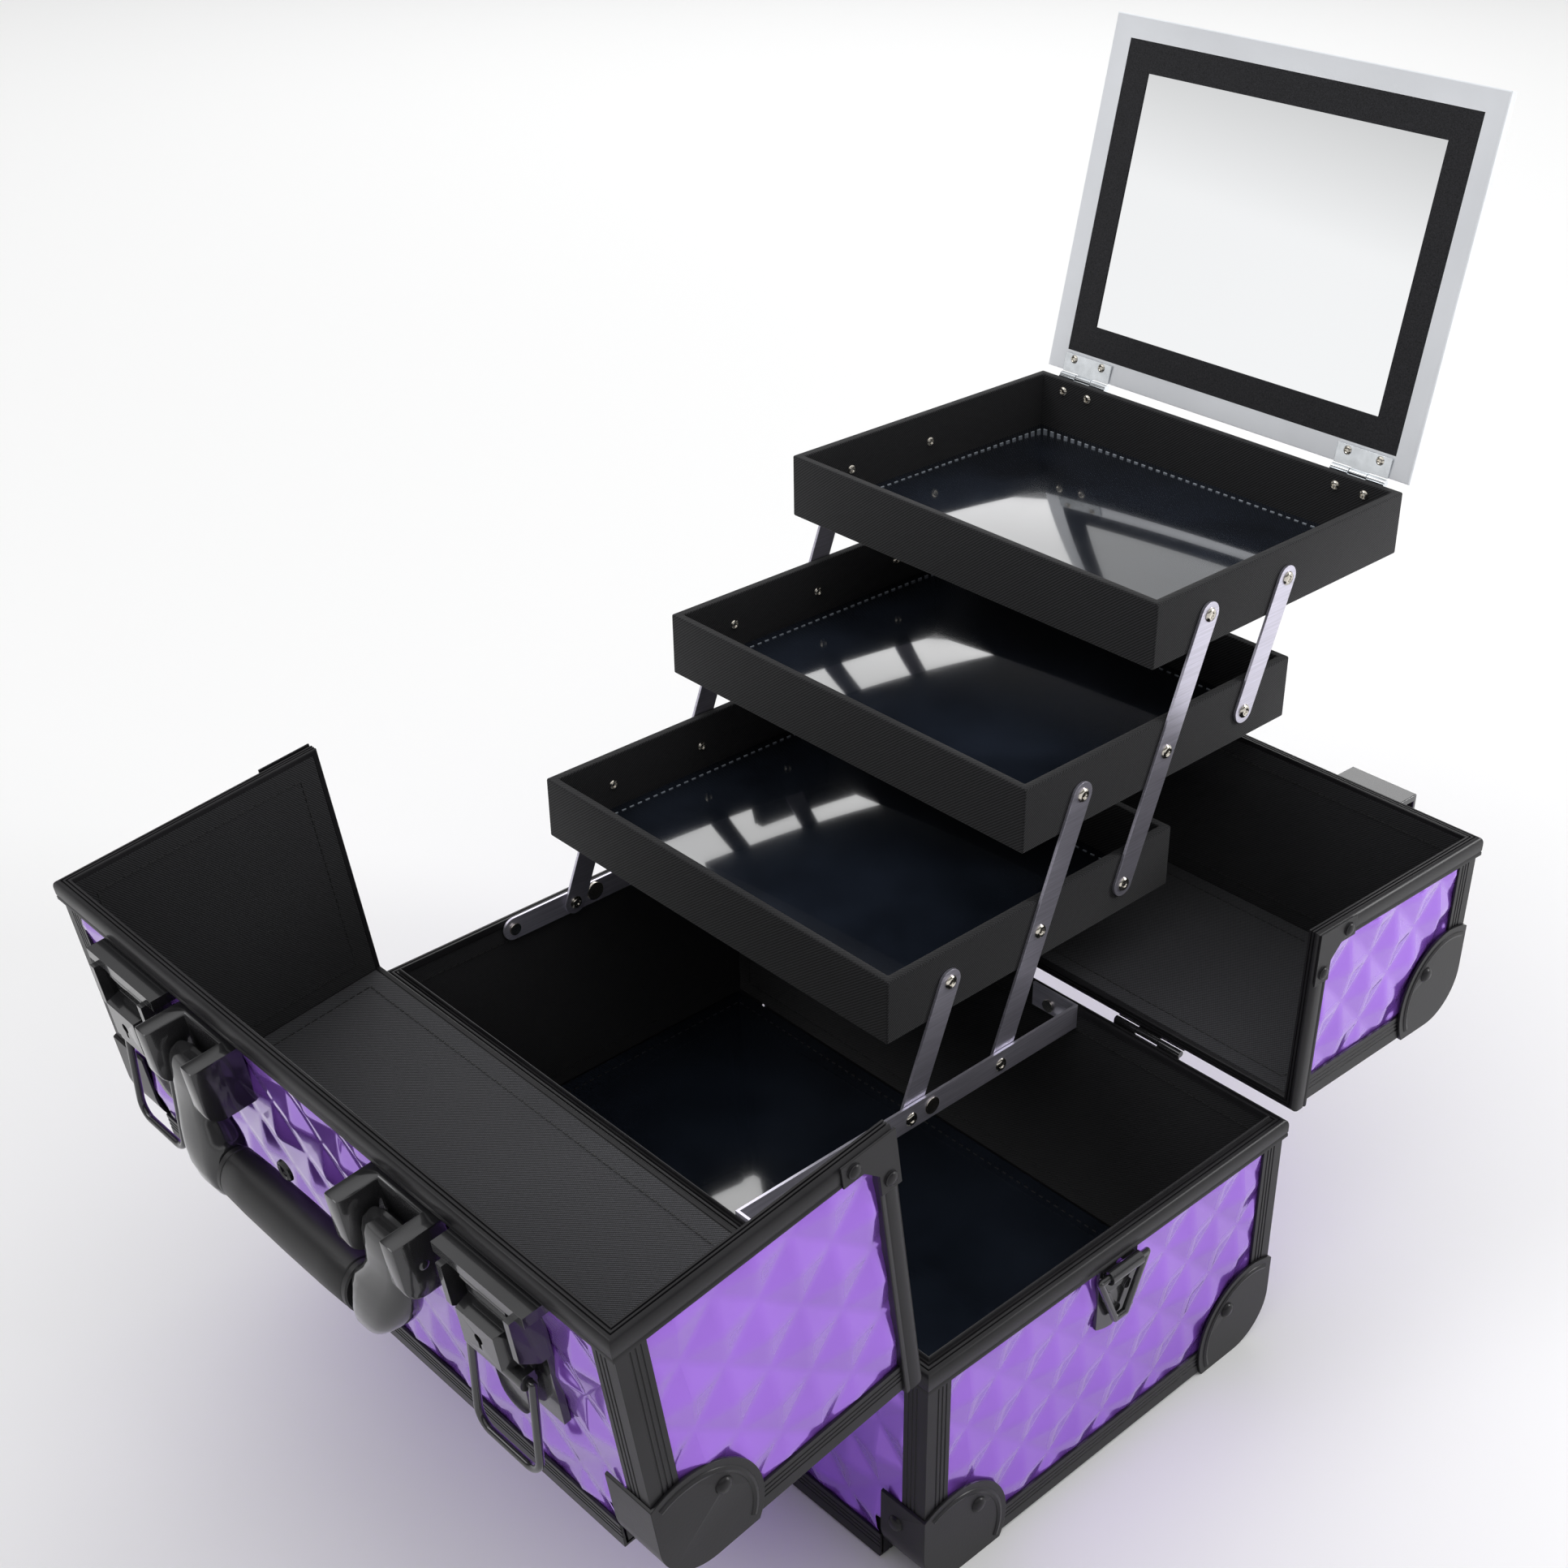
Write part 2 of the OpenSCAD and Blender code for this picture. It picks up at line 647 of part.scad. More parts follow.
module front_lid_wall() color(twill) on_front() lid_wall_board();
module front_lid_top() color(twill) on_front() lid_top_board(front_depth);
module front_lid_cheeks() color(twill) on_front() lid_cheek_boards(front_depth);
module front_lid_panels() color(purple) on_front() lid_panels(front_depth);
module front_lid_rim() color(black) on_front() lid_rim(front_depth);
module front_lid_rails() color(black) on_front() lid_rails(front_depth);
module front_lid_corners() color(black) on_front() lid_corners();
module front_lid_braces() color(black) on_front() lid_braces(front_depth);

module back_lid_wall() color(twill) on_back() lid_wall_board();
module back_lid_top() color(twill) on_back() lid_top_board(back_depth);
module back_lid_cheeks() color(twill) on_back() lid_cheek_boards(back_depth);
module back_lid_panels() color(purple) on_back() lid_panels(back_depth);
module back_lid_rim() color(black) on_back() lid_rim(back_depth);
module back_lid_rails() color(black) on_back() lid_rails(back_depth);
module back_lid_corners() color(black) on_back() lid_corners();
module back_lid_braces() color(black) on_back() lid_braces(back_depth);

// ---------- handle ----------

// C-shaped bracket: two thick ears that hold the handle's pin, joined at the lid
module handle_bracket() difference() {
    union() {
        box([-ear_w/2, -ear_y, -skin_in], [ear_w/2, ear_y, ear_h - ear_round]);
        box([-ear_w/2, -ear_y + ear_round, 1], [ear_w/2, ear_y, ear_h]);
        translate([0, -ear_y + ear_round, ear_h - ear_round])
            rod_x(ear_round, -ear_w/2, ear_w/2);
    }
    box([-ear_w/2 + ear_t, -ear_y - 1, 3], [ear_w/2 - ear_t, ear_y + 1, ear_h + 1]);
}

module handle_brackets() color(gloss) on_top() both_x() translate([grip_x, handle_u, 0]) {
    handle_bracket();
    translate([0, 0, handle_up]) rod_x(2, -ear_w/2, ear_w/2 + 0.4);
}

// Places the handle so that it hangs plumb from its pins
module on_handle() on_top() translate([0, handle_u, handle_up])
    rotate([-hang, 0, 0]) children();

// Straight neck of an arm, as far below the pin as clears the bracket's ears
module arm_neck() translate([0, -ear_y - 6, 0]) rod_x(5.4, -arm_half, arm_half, $fn = 32);

module handle_arms() color(gloss) on_handle() both_x() translate([grip_x, 0, 0]) difference() {
    union() {
        hull() {
            rod_x(6, -arm_half, arm_half);
            arm_neck();
        }
        hull() {
            arm_neck();
            translate([0, -handle_drop, 0]) rod_x(grip_r - 1.5, -20, -4, $fn = 32);
        }
    }
    rod_x(2.06, -ear_w, ear_w);
}

module handle_grip() color([0.08, 0.08, 0.085]) on_handle() translate([0, -handle_drop, 0]) hull() {
    translate([0, 2.5, 0]) rod_x(grip_r, -grip_x + 20.02, grip_x - 20.02, $fn = 32);
    translate([0, -2.5, 0]) rod_x(grip_r, -grip_x + 20.02, grip_x - 20.02, $fn = 32);
}

// ---------- latches ----------

module latch_plate() difference() {
    union() {
        box([-latch_half, lever_u - 52, -skin_in], [latch_half, lever_u + 8, 1.6]);
        box([-lip_w/2, lever_u + 3.5, -skin_in], [lip_w/2, lever_u + 8, 8.5]);
        both_x() hull() {
            box([16.2, lever_u - 20, 0], [19.2, lever_u + 4, 4]);
            box([16.2, lever_u - 14, 4], [19.2, lever_u + 4, 11]);
        }
    }
    translate([0, lever_u, lever_up]) rod_x(1.5, -18, 18);
}

module latch_plates() color(gloss) on_top() both_x() translate([latch_x, 0, 0]) latch_plate();

// Lever with its lock block, its wire ledge and a rounded pull
module latch_lever() translate([0, lever_u, lever_up]) difference() {
    union() {
        rod_x(1.45, -18, 18);
        rod_x(2.8, -12, 12);
        box([-12, -lever_l + 20, -1.5], [12, 0, 1.5]);
        translate([0, -lever_l + 20, -1.5]) linear_extrude(3) hull() {
            translate([-9, 0]) square([18, 2]);
            translate([0, -11.5]) circle(8);
        }
        hull() {
            box([-11, -24, 1], [11, -7, 2]);
            box([-10, -23, 2], [10, -8, 8]);
        }
        translate([0, bail_u - lever_u, bail_up - lever_up]) {
            rod_x(3.4, -15, 15);
            box([-15, -3.4, -3], [15, 3.4, 0]);
        }
    }
    translate([0, bail_u - lever_u, bail_up - lever_up]) rod_x(wire_r + 0.06, -20, 20);
    translate([0, -15.5, 5]) cylinder(r = 2, h = 5);
    box([-0.7, -20, 5], [0.7, -15, 10]);
}

module lever_near() color(gloss) on_top() translate([latch_x, 0, 0]) latch_lever();
module lever_far() color(gloss) on_top() translate([-latch_x, 0, 0]) latch_lever();

// U-shaped wire whose ends turn into the lever's ledge; it hangs plumb
module latch_bail() translate([0, bail_u, lid_h + bail_up]) rotate([-hang, 0, 0]) {
    both_x() {
        rod_x(wire_r, 11, bail_half);
        translate([bail_half, 0, 0]) sphere(wire_r, $fn = 24);
        translate([bail_half, 0, 0]) rotate([90, 0, 0])
            cylinder(r = wire_r, h = bail_l - bail_bend);
        translate([bail_half - bail_bend, -bail_l + bail_bend, 0]) rotate([0, 0, -90])
            rotate_extrude(angle = 90) translate([bail_bend, 0]) circle(wire_r, $fn = 24);
        translate([0, -bail_l, 0]) rod_x(wire_r, -eps, bail_half - bail_bend + eps);
    }
}

module bail_near() color(gloss) on_front() translate([latch_x, 0, 0]) latch_bail();
module bail_far() color(gloss) on_front() translate([-latch_x, 0, 0]) latch_bail();

module latch_catches() color(gloss) on_back() both_x() translate([latch_x, back_depth, lid_h]) {
    box([-latch_half, -24, -skin_in], [latch_half, -rim_h, catch_t]);
    box([-catch_half, -rim_h - 6, catch_t - 1], [catch_half, -2, catch_t + 1]);
    box([-catch_half, -5, catch_t], [catch_half, -2, catch_up]);
    box([-catch_half, -12, catch_up - 2], [catch_half, -2, catch_up]);
}

// ---------- arms ----------

// Flat arm from the pivot p with n further pivots, on both sides of the trays
module arm(p, n) tray_sides() yz(p) translate([arm_x, 0, 0]) rotate([arm_angle, 0, 0])
    rotate([90, 0, 90]) linear_extrude(arm_t) difference() {
        union() {
            translate([0, -arm_w/2]) square([n*arm_l, arm_w]);
            for (k = [0, n]) translate([k*arm_l, 0]) circle(arm_w/2);
        }
        for (k = [0 : n]) translate([k*arm_l, 0]) circle(rivet_r + rivet_fit);
    }

module arm_1() color(metal) arm(b1, 1);
module arm_2() color(metal) arm(b2, 2);
module arm_3() color(metal) arm([t1[0] + 2*pitch, t1[1]], 2);
module arm_4() color(metal) arm([t2[0] + 2*pitch, t2[1]], 1);

// ---------- trays ----------

// Tray whose first pivot is at t, with n pivots in use
module tray(t, n) difference() {
    y = t[0] - pivot_in;
    z = t[1] + pivot_drop;
    box([far_x, y, z - tray_h], [near_x, y + tray_w, z]);
    box([far_x + tray_wall, y + tray_wall, z - tray_h + tray_floor],
        [near_x - tray_wall, y + tray_w - tray_wall, z + 1]);
    for (k = [0 : n - 1]) tray_sides() yz([t[0] + k*pitch, t[1]])
        rod_x(rivet_r, -tray_wall - 1, 1);
}

// Pivot rivets of a tray, shank through the wall and the arm
module tray_rivets(t, n) for (k = [0 : n - 1]) tray_sides() yz([t[0] + k*pitch, t[1]]) {
    rod_x(rivet_r, -tray_wall - head_t, head_x + head_t);
    rod_x(head_r, head_x, head_x + head_t);
    rod_x(head_r - 0.6, -tray_wall - head_t, -tray_wall);
}

module tray_1() color(twill) tray(t1, 3);
module tray_2() color(twill) tray(t2, 3);
module tray_3() color(twill) difference() {
    tray(t3, 2);
    mhinge_rivets(1.2);
}
module tray_1_rivets() color(steel) tray_rivets(t1, 3);
module tray_2_rivets() color(steel) tray_rivets(t2, 3);
module tray_3_rivets() color(steel) {
    tray_rivets(t3, 2);
    mhinge_rivets(1.2);
    mhinge_heads();
}

// ---------- mirror ----------

// Places for the two mirror hinges, at their pins
module mhinges() translate([near_x - tray_l/2, axis_y, axis_z])
    both_x() translate([mhinge_x, 0, 0]) children();

module mhinge_rivets(r) mhinges() for (x = [-8, 8]) translate([x, -2.2 - tray_wall - head_t, -6])
    rotate([-90, 0, 0]) cylinder(r = r, h = tray_wall + 2*head_t + leaf_t);

module mhinge_heads() mhinges() for (x = [-8, 8]) {
    translate([x, -2.2 - tray_wall - head_t, -6]) rotate([-90, 0, 0]) cylinder(r = 2.4, h = head_t);
    translate([x, -2.2 + leaf_t, -6]) rotate([-90, 0, 0]) cylinder(r = 2.4, h = head_t);
}

module tray_3_hinges() color(steel) mhinges() difference() {
    union() {
        for (s = [0, 1]) mirror([s, 0, 0]) rod_x(mknuckle_r, mhinge_l/6 + 0.15, mhinge_l/2);
        rod_x(hinge_pin_r, -mhinge_l/2, mhinge_l/2);
        box([-mhinge_l/2, -2.2, -10.5], [mhinge_l/2, -2.2 + leaf_t, -mknuckle_r - 0.4]);
        for (s = [0, 1]) mirror([s, 0, 0])
            box([mhinge_l/6 + 0.15, -2.2, -mknuckle_r - 0.5], [mhinge_l/2, -2.2 + leaf_t, 0]);
    }
    for (x = [-8, 8]) translate([x, -3, -6]) rotate([-90, 0, 0]) cylinder(r = 1.2, h = 3);
}

mir_z = mirror_gap - 0.3;
mir_y = -2.2;

// Frame with its mat recess, in closed mirror coordinates; the glass side faces down
module mirror_frame() color(white) on_mirror() difference() {
    box([-tray_l/2, mir_y - tray_w, mir_z], [tray_l/2, mir_y, mir_z + frame_t]);
    box([-tray_l/2 + frame_w, mir_y - tray_w + frame_w, mir_z - 1],
        [tray_l/2 - frame_w, mir_y - frame_w, mir_z + frame_t - 1.2]);
}

// Leaves on the glass side of the frame, one knuckle each
module mirror_hinges() color(steel) on_mirror() both_x() translate([mhinge_x, 0, 0]) difference() {
    union() {
        rod_x(mknuckle_r, -mhinge_l/6 + 0.15, mhinge_l/6 - 0.15);
        box([-mhinge_l/2, -11.5, 0.05], [mhinge_l/2, -mknuckle_r - 0.5, 0.05 + leaf_t]);
        box([-mhinge_l/6 + 0.15, -mknuckle_r - 0.6, 0.05], [mhinge_l/6 - 0.15, 0, 0.05 + leaf_t]);
    }
    rod_x(bore_r, -mhinge_l, mhinge_l);
}

module mirror_glass() color([0.85, 0.88, 0.92]) on_mirror()
    box([-tray_l/2 + frame_w, mir_y - tray_w + frame_w, mir_z + 0.8],
        [tray_l/2 - frame_w, mir_y - frame_w, mir_z + frame_t - 1.2]);

// ---------- drawing ----------

base_front_wall();
base_back_wall();
base_end_walls();
base_floor();
floor_pad();
base_panels();
corner_posts();
bottom_rails();
base_rim();
base_corners();
ring_plates();
ring_near();
ring_far();
tray_bracket();
tray_bar();
stop_bolts();
base_rivets();
fixing_screws();
base_hinges();
front_lid_wall();
front_lid_top();
front_lid_cheeks();
front_lid_panels();
front_lid_rim();
front_lid_rails();
front_lid_corners();
front_lid_braces();
front_hinge_leaves();
latch_plates();
lever_near();
lever_far();
bail_near();
bail_far();
handle_brackets();
handle_arms();
handle_grip();
back_lid_wall();
back_lid_top();
back_lid_cheeks();
back_lid_panels();
back_lid_rim();
back_lid_rails();
back_lid_corners();
back_lid_braces();
back_hinge_leaves();
latch_catches();
arm_1();
arm_2();
arm_3();
arm_4();
tray_1();
tray_2();
tray_3();
tray_1_rivets();
tray_2_rivets();
tray_3_rivets();
tray_3_hinges();
mirror_hinges();
mirror_frame();
mirror_glass();
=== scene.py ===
"""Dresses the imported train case: embossed panels, extrusions, linings, trays, mirror and studio."""
import json
import math

import bmesh
import bpy
from bpy.props import FloatProperty, FloatVectorProperty
from mathutils import Matrix, Vector

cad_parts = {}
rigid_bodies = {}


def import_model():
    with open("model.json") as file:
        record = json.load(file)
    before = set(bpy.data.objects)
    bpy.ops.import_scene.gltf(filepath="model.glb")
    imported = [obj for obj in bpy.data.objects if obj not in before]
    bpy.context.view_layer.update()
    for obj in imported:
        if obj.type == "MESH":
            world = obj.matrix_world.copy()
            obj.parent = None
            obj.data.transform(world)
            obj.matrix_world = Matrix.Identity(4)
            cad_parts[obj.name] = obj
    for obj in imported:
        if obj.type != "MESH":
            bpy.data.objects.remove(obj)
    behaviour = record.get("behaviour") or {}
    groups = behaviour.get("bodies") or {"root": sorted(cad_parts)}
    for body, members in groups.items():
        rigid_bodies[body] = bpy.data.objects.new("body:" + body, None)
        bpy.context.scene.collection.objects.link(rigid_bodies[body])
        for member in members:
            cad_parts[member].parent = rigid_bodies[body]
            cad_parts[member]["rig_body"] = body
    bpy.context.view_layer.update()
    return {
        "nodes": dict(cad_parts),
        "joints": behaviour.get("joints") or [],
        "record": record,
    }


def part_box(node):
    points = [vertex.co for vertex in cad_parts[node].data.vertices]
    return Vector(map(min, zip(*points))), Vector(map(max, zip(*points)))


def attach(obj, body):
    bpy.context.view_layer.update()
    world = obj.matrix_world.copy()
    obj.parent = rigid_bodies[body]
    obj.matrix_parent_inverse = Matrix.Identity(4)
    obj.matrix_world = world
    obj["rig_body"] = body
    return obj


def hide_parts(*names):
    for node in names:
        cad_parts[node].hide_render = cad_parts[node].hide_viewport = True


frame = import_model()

bl_info = {
    "name": "Train Case Maker",
    "version": (1, 0, 0),
    "blender": (4, 5, 0),
    "location": "View3D > Sidebar > Train Case",
    "description": "Makes a vanity train case with cantilever trays around its packed frame",
    "category": "Add Mesh",
}

MM = 0.001
X, Y, Z = Vector((1, 0, 0)), Vector((0, 1, 0)), Vector((0, 0, 1))

# ---------- sizes shared with the frame ----------

JOINTS = {joint["name"]: joint for joint in frame["joints"]}
SLOTS = {part["node"]: part["material_slot"] for part in frame["record"]["subparts"]}


def pivot(joint):
    """Where a joint turns, at rest."""
    return Vector(JOINTS[joint]["pos_m"])


POST_LOW, POST_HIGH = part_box("corner_posts")
HALF_L = POST_HIGH.x
HALF_W = POST_HIGH.y
LID_GAP = 0.3 * MM
BASE_H = pivot("front_lid_hinge").z - LID_GAP / 2
HINGE_OUT = -pivot("front_lid_hinge").y - HALF_W
LID_H = 115 * MM
FRONT_DEPTH = 120.8 * MM
BACK_DEPTH = 2 * HALF_W - FRONT_DEPTH - 0.4 * MM
FRONT_OPEN = math.radians(JOINTS["front_lid_hinge"]["range_deg"][1])
BACK_OPEN = math.radians(92)
MIRROR_OPEN = math.radians(JOINTS["mirror_hinge"]["range_deg"][1])
RAIL_T = 1.1 * MM
BOARD_IN = 1.9 * MM
BASE_WALL = 4.5 * MM
LID_WALL = 4 * MM
RIM_H = 9 * MM
CORNER_R = 20 * MM
CORNER_X = 22 * MM
CORNER_T = 1.2 * MM
FLOOR_Z = CORNER_T + RAIL_T
EAR = 40 * MM
PITCH = pivot("arms_2_pivot").y - pivot("tray_fold").y
FRONT = (Matrix.Translation(pivot("front_lid_hinge")) @ Matrix.Rotation(FRONT_OPEN, 4, "X")
         @ Matrix.Translation((0, HINGE_OUT, LID_GAP / 2)))
BACK = (Matrix.Translation(pivot("back_lid_hinge")) @ Matrix.Rotation(math.pi, 4, "Z")
        @ Matrix.Rotation(BACK_OPEN, 4, "X") @ Matrix.Translation((0, HINGE_OUT, LID_GAP / 2)))
MIRROR_LOW, MIRROR_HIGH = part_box("mirror_frame")
MIRROR = (Matrix.Translation(((MIRROR_LOW.x + MIRROR_HIGH.x) / 2, *pivot("mirror_hinge").yz))
          @ Matrix.Rotation(-MIRROR_OPEN, 4, "X"))


# ---------- what a user would change ----------

def length(name, description, default):
    return FloatProperty(name=name, description=description, default=default, min=0.0,
                         precision=5, unit="LENGTH")


def colour(name, description, default):
    return FloatVectorProperty(name=name, description=description, default=default, size=3,
                               min=0.0, max=1.0, subtype="COLOR")


class TrainCaseSizes(bpy.types.PropertyGroup):
    """Sizes of the details that the frame does not hold"""
    pyramid: length("Pyramid", "Half the diagonal of an embossed pyramid", 16 * MM)
    relief: length("Relief", "Height of an embossed pyramid", 2.6 * MM)
    stitch: length("Stitch", "Length of one stitch", 2.2 * MM)
    stitch_pitch: length("Stitch pitch", "Distance between two stitches", 4.6 * MM)
    stitch_inset: length("Stitch inset", "Distance of the stitches from a film's edge", 5 * MM)
    hem_inset: length("Hem inset", "Distance of the stitches from a lining's edge", 8 * MM)
    rim_round: length("Rim rounding", "Rounding of a cloth-wrapped tray rim", 0.9 * MM)
    frame_face: length("Frame face", "Width of the mirror frame", 10.5 * MM)
    mat_width: length("Mat width", "Width of the border round the mirror", 14.5 * MM)


class TrainCaseColours(bpy.types.PropertyGroup):
    """Colours of the finishes"""
    laminate: colour("Laminate", "Embossed panels", (0.33, 0.125, 0.72))
    trim: colour("Trim", "Anodised extrusions", (0.013, 0.0125, 0.014))
    gloss: colour("Gloss", "Handle and latches", (0.032, 0.032, 0.034))
    twill: colour("Twill", "Lining cloth", (0.016, 0.016, 0.018))
    film: colour("Film", "Board under the clear film", (0.009, 0.012, 0.019))
    metal: colour("Metal", "Brushed arms", (0.60, 0.58, 0.68))
    silver: colour("Silver", "Mirror frame", (0.86, 0.88, 0.92))


def sizes():
    return bpy.context.scene.train_case_sizes


def colours():
    return bpy.context.scene.train_case_colours


# ---------- finishes ----------

def shader_of(name, base, rough, metal=0.0, coat=0.0, sheen=0.0, specular=0.5):
    """A new material with its tree and its shader."""
    material = bpy.data.materials.new(name)
    material.use_nodes = True
    shader = material.node_tree.nodes["Principled BSDF"]
    shader.inputs["Base Color"].default_value = (*base, 1)
    shader.inputs["Roughness"].default_value = rough
    shader.inputs["Metallic"].default_value = metal
    shader.inputs["Coat Weight"].default_value = coat
    shader.inputs["Coat Roughness"].default_value = 0.04
    shader.inputs["Sheen Weight"].default_value = sheen
    shader.inputs["Specular IOR Level"].default_value = specular
    return material, material.node_tree, shader


def place_of(tree, scale=(1, 1, 1), turn=(0, 0, 0), uv=None):
    """Object coordinates, or a UV map's, turned and scaled."""
    if uv:
        source = tree.nodes.new("ShaderNodeUVMap")
        source.uv_map = uv
        socket = source.outputs["UV"]
    else:
        socket = tree.nodes.new("ShaderNodeTexCoord").outputs["Object"]
    mapping = tree.nodes.new("ShaderNodeMapping")
    mapping.inputs["Rotation"].default_value = turn
    mapping.inputs["Scale"].default_value = scale
    tree.links.new(socket, mapping.inputs["Vector"])
    return mapping.outputs["Vector"]


def noise(tree, place, scale, detail=2.0, rough=0.5):
    node = tree.nodes.new("ShaderNodeTexNoise")
    node.inputs["Scale"].default_value = scale
    node.inputs["Detail"].default_value = detail
    node.inputs["Roughness"].default_value = rough
    tree.links.new(place, node.inputs["Vector"])
    return node.outputs["Fac"]


def bands(tree, place, scale, direction="X", distortion=0.0):
    node = tree.nodes.new("ShaderNodeTexWave")
    node.bands_direction = direction
    node.inputs["Scale"].default_value = scale
    node.inputs["Distortion"].default_value = distortion
    tree.links.new(place, node.inputs["Vector"])
    return node.outputs["Fac"]


def combine(tree, kind, first, second):
    node = tree.nodes.new("ShaderNodeMath")
    node.operation = kind
    for socket, value in zip(node.inputs, (first, second)):
        if isinstance(value, (int, float)):
            socket.default_value = value
        else:
            tree.links.new(value, socket)
    return node.outputs["Value"]


def spread(tree, value, low, high):
    """A 0 to 1 value stretched to run from low to high."""
    node = tree.nodes.new("ShaderNodeMapRange")
    node.inputs["To Min"].default_value = low
    node.inputs["To Max"].default_value = high
    tree.links.new(value, node.inputs["Value"])
    return node.outputs["Result"]


def tint(tree, shader, value, dark, light, low=0.3, high=0.7):
    """Base colour that runs from dark to light with a value."""
    ramp = tree.nodes.new("ShaderNodeValToRGB")
    ramp.color_ramp.elements[0].position = low
    ramp.color_ramp.elements[1].position = high
    ramp.color_ramp.elements[0].color = (*dark, 1)
    ramp.color_ramp.elements[1].color = (*light, 1)
    tree.links.new(value, ramp.inputs["Fac"])
    tree.links.new(ramp.outputs["Color"], shader.inputs["Base Color"])


def bump(tree, shader, height, distance, strength=1.0):
    """Adds a bump on top of those that the shader has."""
    node = tree.nodes.new("ShaderNodeBump")
    node.inputs["Strength"].default_value = strength
    node.inputs["Distance"].default_value = distance
    tree.links.new(height, node.inputs["Height"])
    if shader.inputs["Normal"].links:
        tree.links.new(shader.inputs["Normal"].links[0].from_socket, node.inputs["Normal"])
    tree.links.new(node.outputs["Normal"], shader.inputs["Normal"])


def scaled(rgb, factor):
    return tuple(min(channel * factor, 1.0) for channel in rgb)


def laminate_finish():
    """Metallised purple film under a clear gloss."""
    base = colours().laminate
    material, tree, shader = shader_of("purple_laminate", base, 0.16, metal=0.55, coat=0.8)
    place = place_of(tree)
    tint(tree, shader, noise(tree, place, 26, 3), scaled(base, 0.93), scaled(base, 1.05))
    rough = spread(tree, noise(tree, place, 90, 4), 0.12, 0.2)
    tree.links.new(rough, shader.inputs["Roughness"])
    bump(tree, shader, noise(tree, place, 60, 2), 0.08 * MM, 0.5)
    return material


def trim_finish(name="anodised_trim", rough=0.34, grain=0.05):
    """Satin black aluminium or moulding, with faint handling marks."""
    base = colours().trim
    material, tree, shader = shader_of(name, base, rough, specular=0.22)
    place = place_of(tree)
    wear = noise(tree, place, 35, 5, 0.6)
    tint(tree, shader, wear, scaled(base, 0.85), scaled(base, 1.35))
    tree.links.new(spread(tree, wear, rough - 0.07, rough + 0.1), shader.inputs["Roughness"])
    bump(tree, shader, noise(tree, place, 900, 3), grain * MM, 0.35)
    return material


def gloss_finish():
    """Black nickel with a slight haze."""
    base = colours().gloss
    material, tree, shader = shader_of("black_nickel", base, 0.2, metal=0.5, coat=0.5)
    place = place_of(tree)
    tree.links.new(spread(tree, noise(tree, place, 45, 4), 0.1, 0.2), shader.inputs["Roughness"])
    tint(tree, shader, noise(tree, place, 20, 3), scaled(base, 0.85), scaled(base, 1.3))
    bump(tree, shader, noise(tree, place, 260, 2), 0.03 * MM, 0.4)
    return material


def grip_finish():
    """Soft matte black vinyl over foam."""
    base = scaled(colours().trim, 0.8)
    material, tree, shader = shader_of("grip_vinyl", base, 0.42, specular=0.4)
    place = place_of(tree)
    grain = noise(tree, place, 1500, 2)
    tree.links.new(spread(tree, noise(tree, place, 60, 3), 0.36, 0.5), shader.inputs["Roughness"])
    bump(tree, shader, grain, 0.04 * MM, 0.5)
    return material


def cloth_finish(name, base, line_pitch, depth=0.12, painted_highlight=2.6):
    """Woven twill: diagonal ribs crossed by finer yarns, read from the weave map, with painted shade in its
    hollows and a painted highlight on its ribs.
    """
    material, tree, shader = shader_of(name, base, 0.85, sheen=0.12, specular=0.25)
    place = place_of(tree, uv="weave")
    # A wave texture repeats each pi / 10 units of its scaled coordinate
    scale = math.pi / 10 / line_pitch
    turned = place_of(tree, turn=(0, 0, math.radians(52)), uv="weave")
    ribs = bands(tree, turned, scale, distortion=0.35)
    crossed = place_of(tree, turn=(0, 0, math.radians(-38)), uv="weave")
    yarns = bands(tree, crossed, scale * 1.7, distortion=0.5)
    fuzz = combine(tree, "ADD", noise(tree, place, 2600, 2, 0.7),
                   combine(tree, "MULTIPLY", noise(tree, place, 700, 2, 0.6), 0.5))
    weave = combine(tree, "MULTIPLY", ribs, combine(tree, "ADD", combine(tree, "MULTIPLY", yarns, 0.55), 0.45))
    height = combine(tree, "ADD", weave, combine(tree, "MULTIPLY", fuzz, 0.6))
    level = combine(tree, "MULTIPLY", height, 0.5)
    # Base colour: painted shade in the weave's hollows and a painted highlight on its ribs, plus random tone
    # from the fuzz
    tint(tree, shader, level, scaled(base, 0.12), scaled(base, painted_highlight), 0.22, 0.75)
    bump(tree, shader, height, depth * MM, 0.8)
    bump(tree, shader, noise(tree, place, 60, 3), 0.25 * MM, 0.35)
    return material


def film_finish():
    """Dark board seen through a clear film with slow waves."""
    base = colours().film
    material, tree, shader = shader_of("clear_film", base, 0.09, coat=1.0, specular=0.9)
    place = place_of(tree)
    tint(tree, shader, noise(tree, place, 14, 4, 0.6), scaled(base, 0.6), scaled(base, 1.9))
    tree.links.new(spread(tree, noise(tree, place, 30, 3), 0.05, 0.16), shader.inputs["Roughness"])
    bump(tree, shader, noise(tree, place, 11, 1), 0.5 * MM, 0.25)
    return material


def brushed_finish(name, lean):
    """Aluminium brushed along a line that leans above level, in the YZ plane."""
    base = scaled(colours().metal, 1.0 if lean else 1.35)
    material, tree, shader = shader_of(name, base, 0.36, metal=0.85)
    place = place_of(tree, scale=(30, 30, 1400), turn=(-lean, 0, 0))
    grain = noise(tree, place, 1, 3, 0.6)
    tint(tree, shader, grain, scaled(base, 0.86), scaled(base, 1.12))
    tree.links.new(spread(tree, grain, 0.26, 0.46), shader.inputs["Roughness"])
    bump(tree, shader, grain, 0.02 * MM, 0.5)
    return material


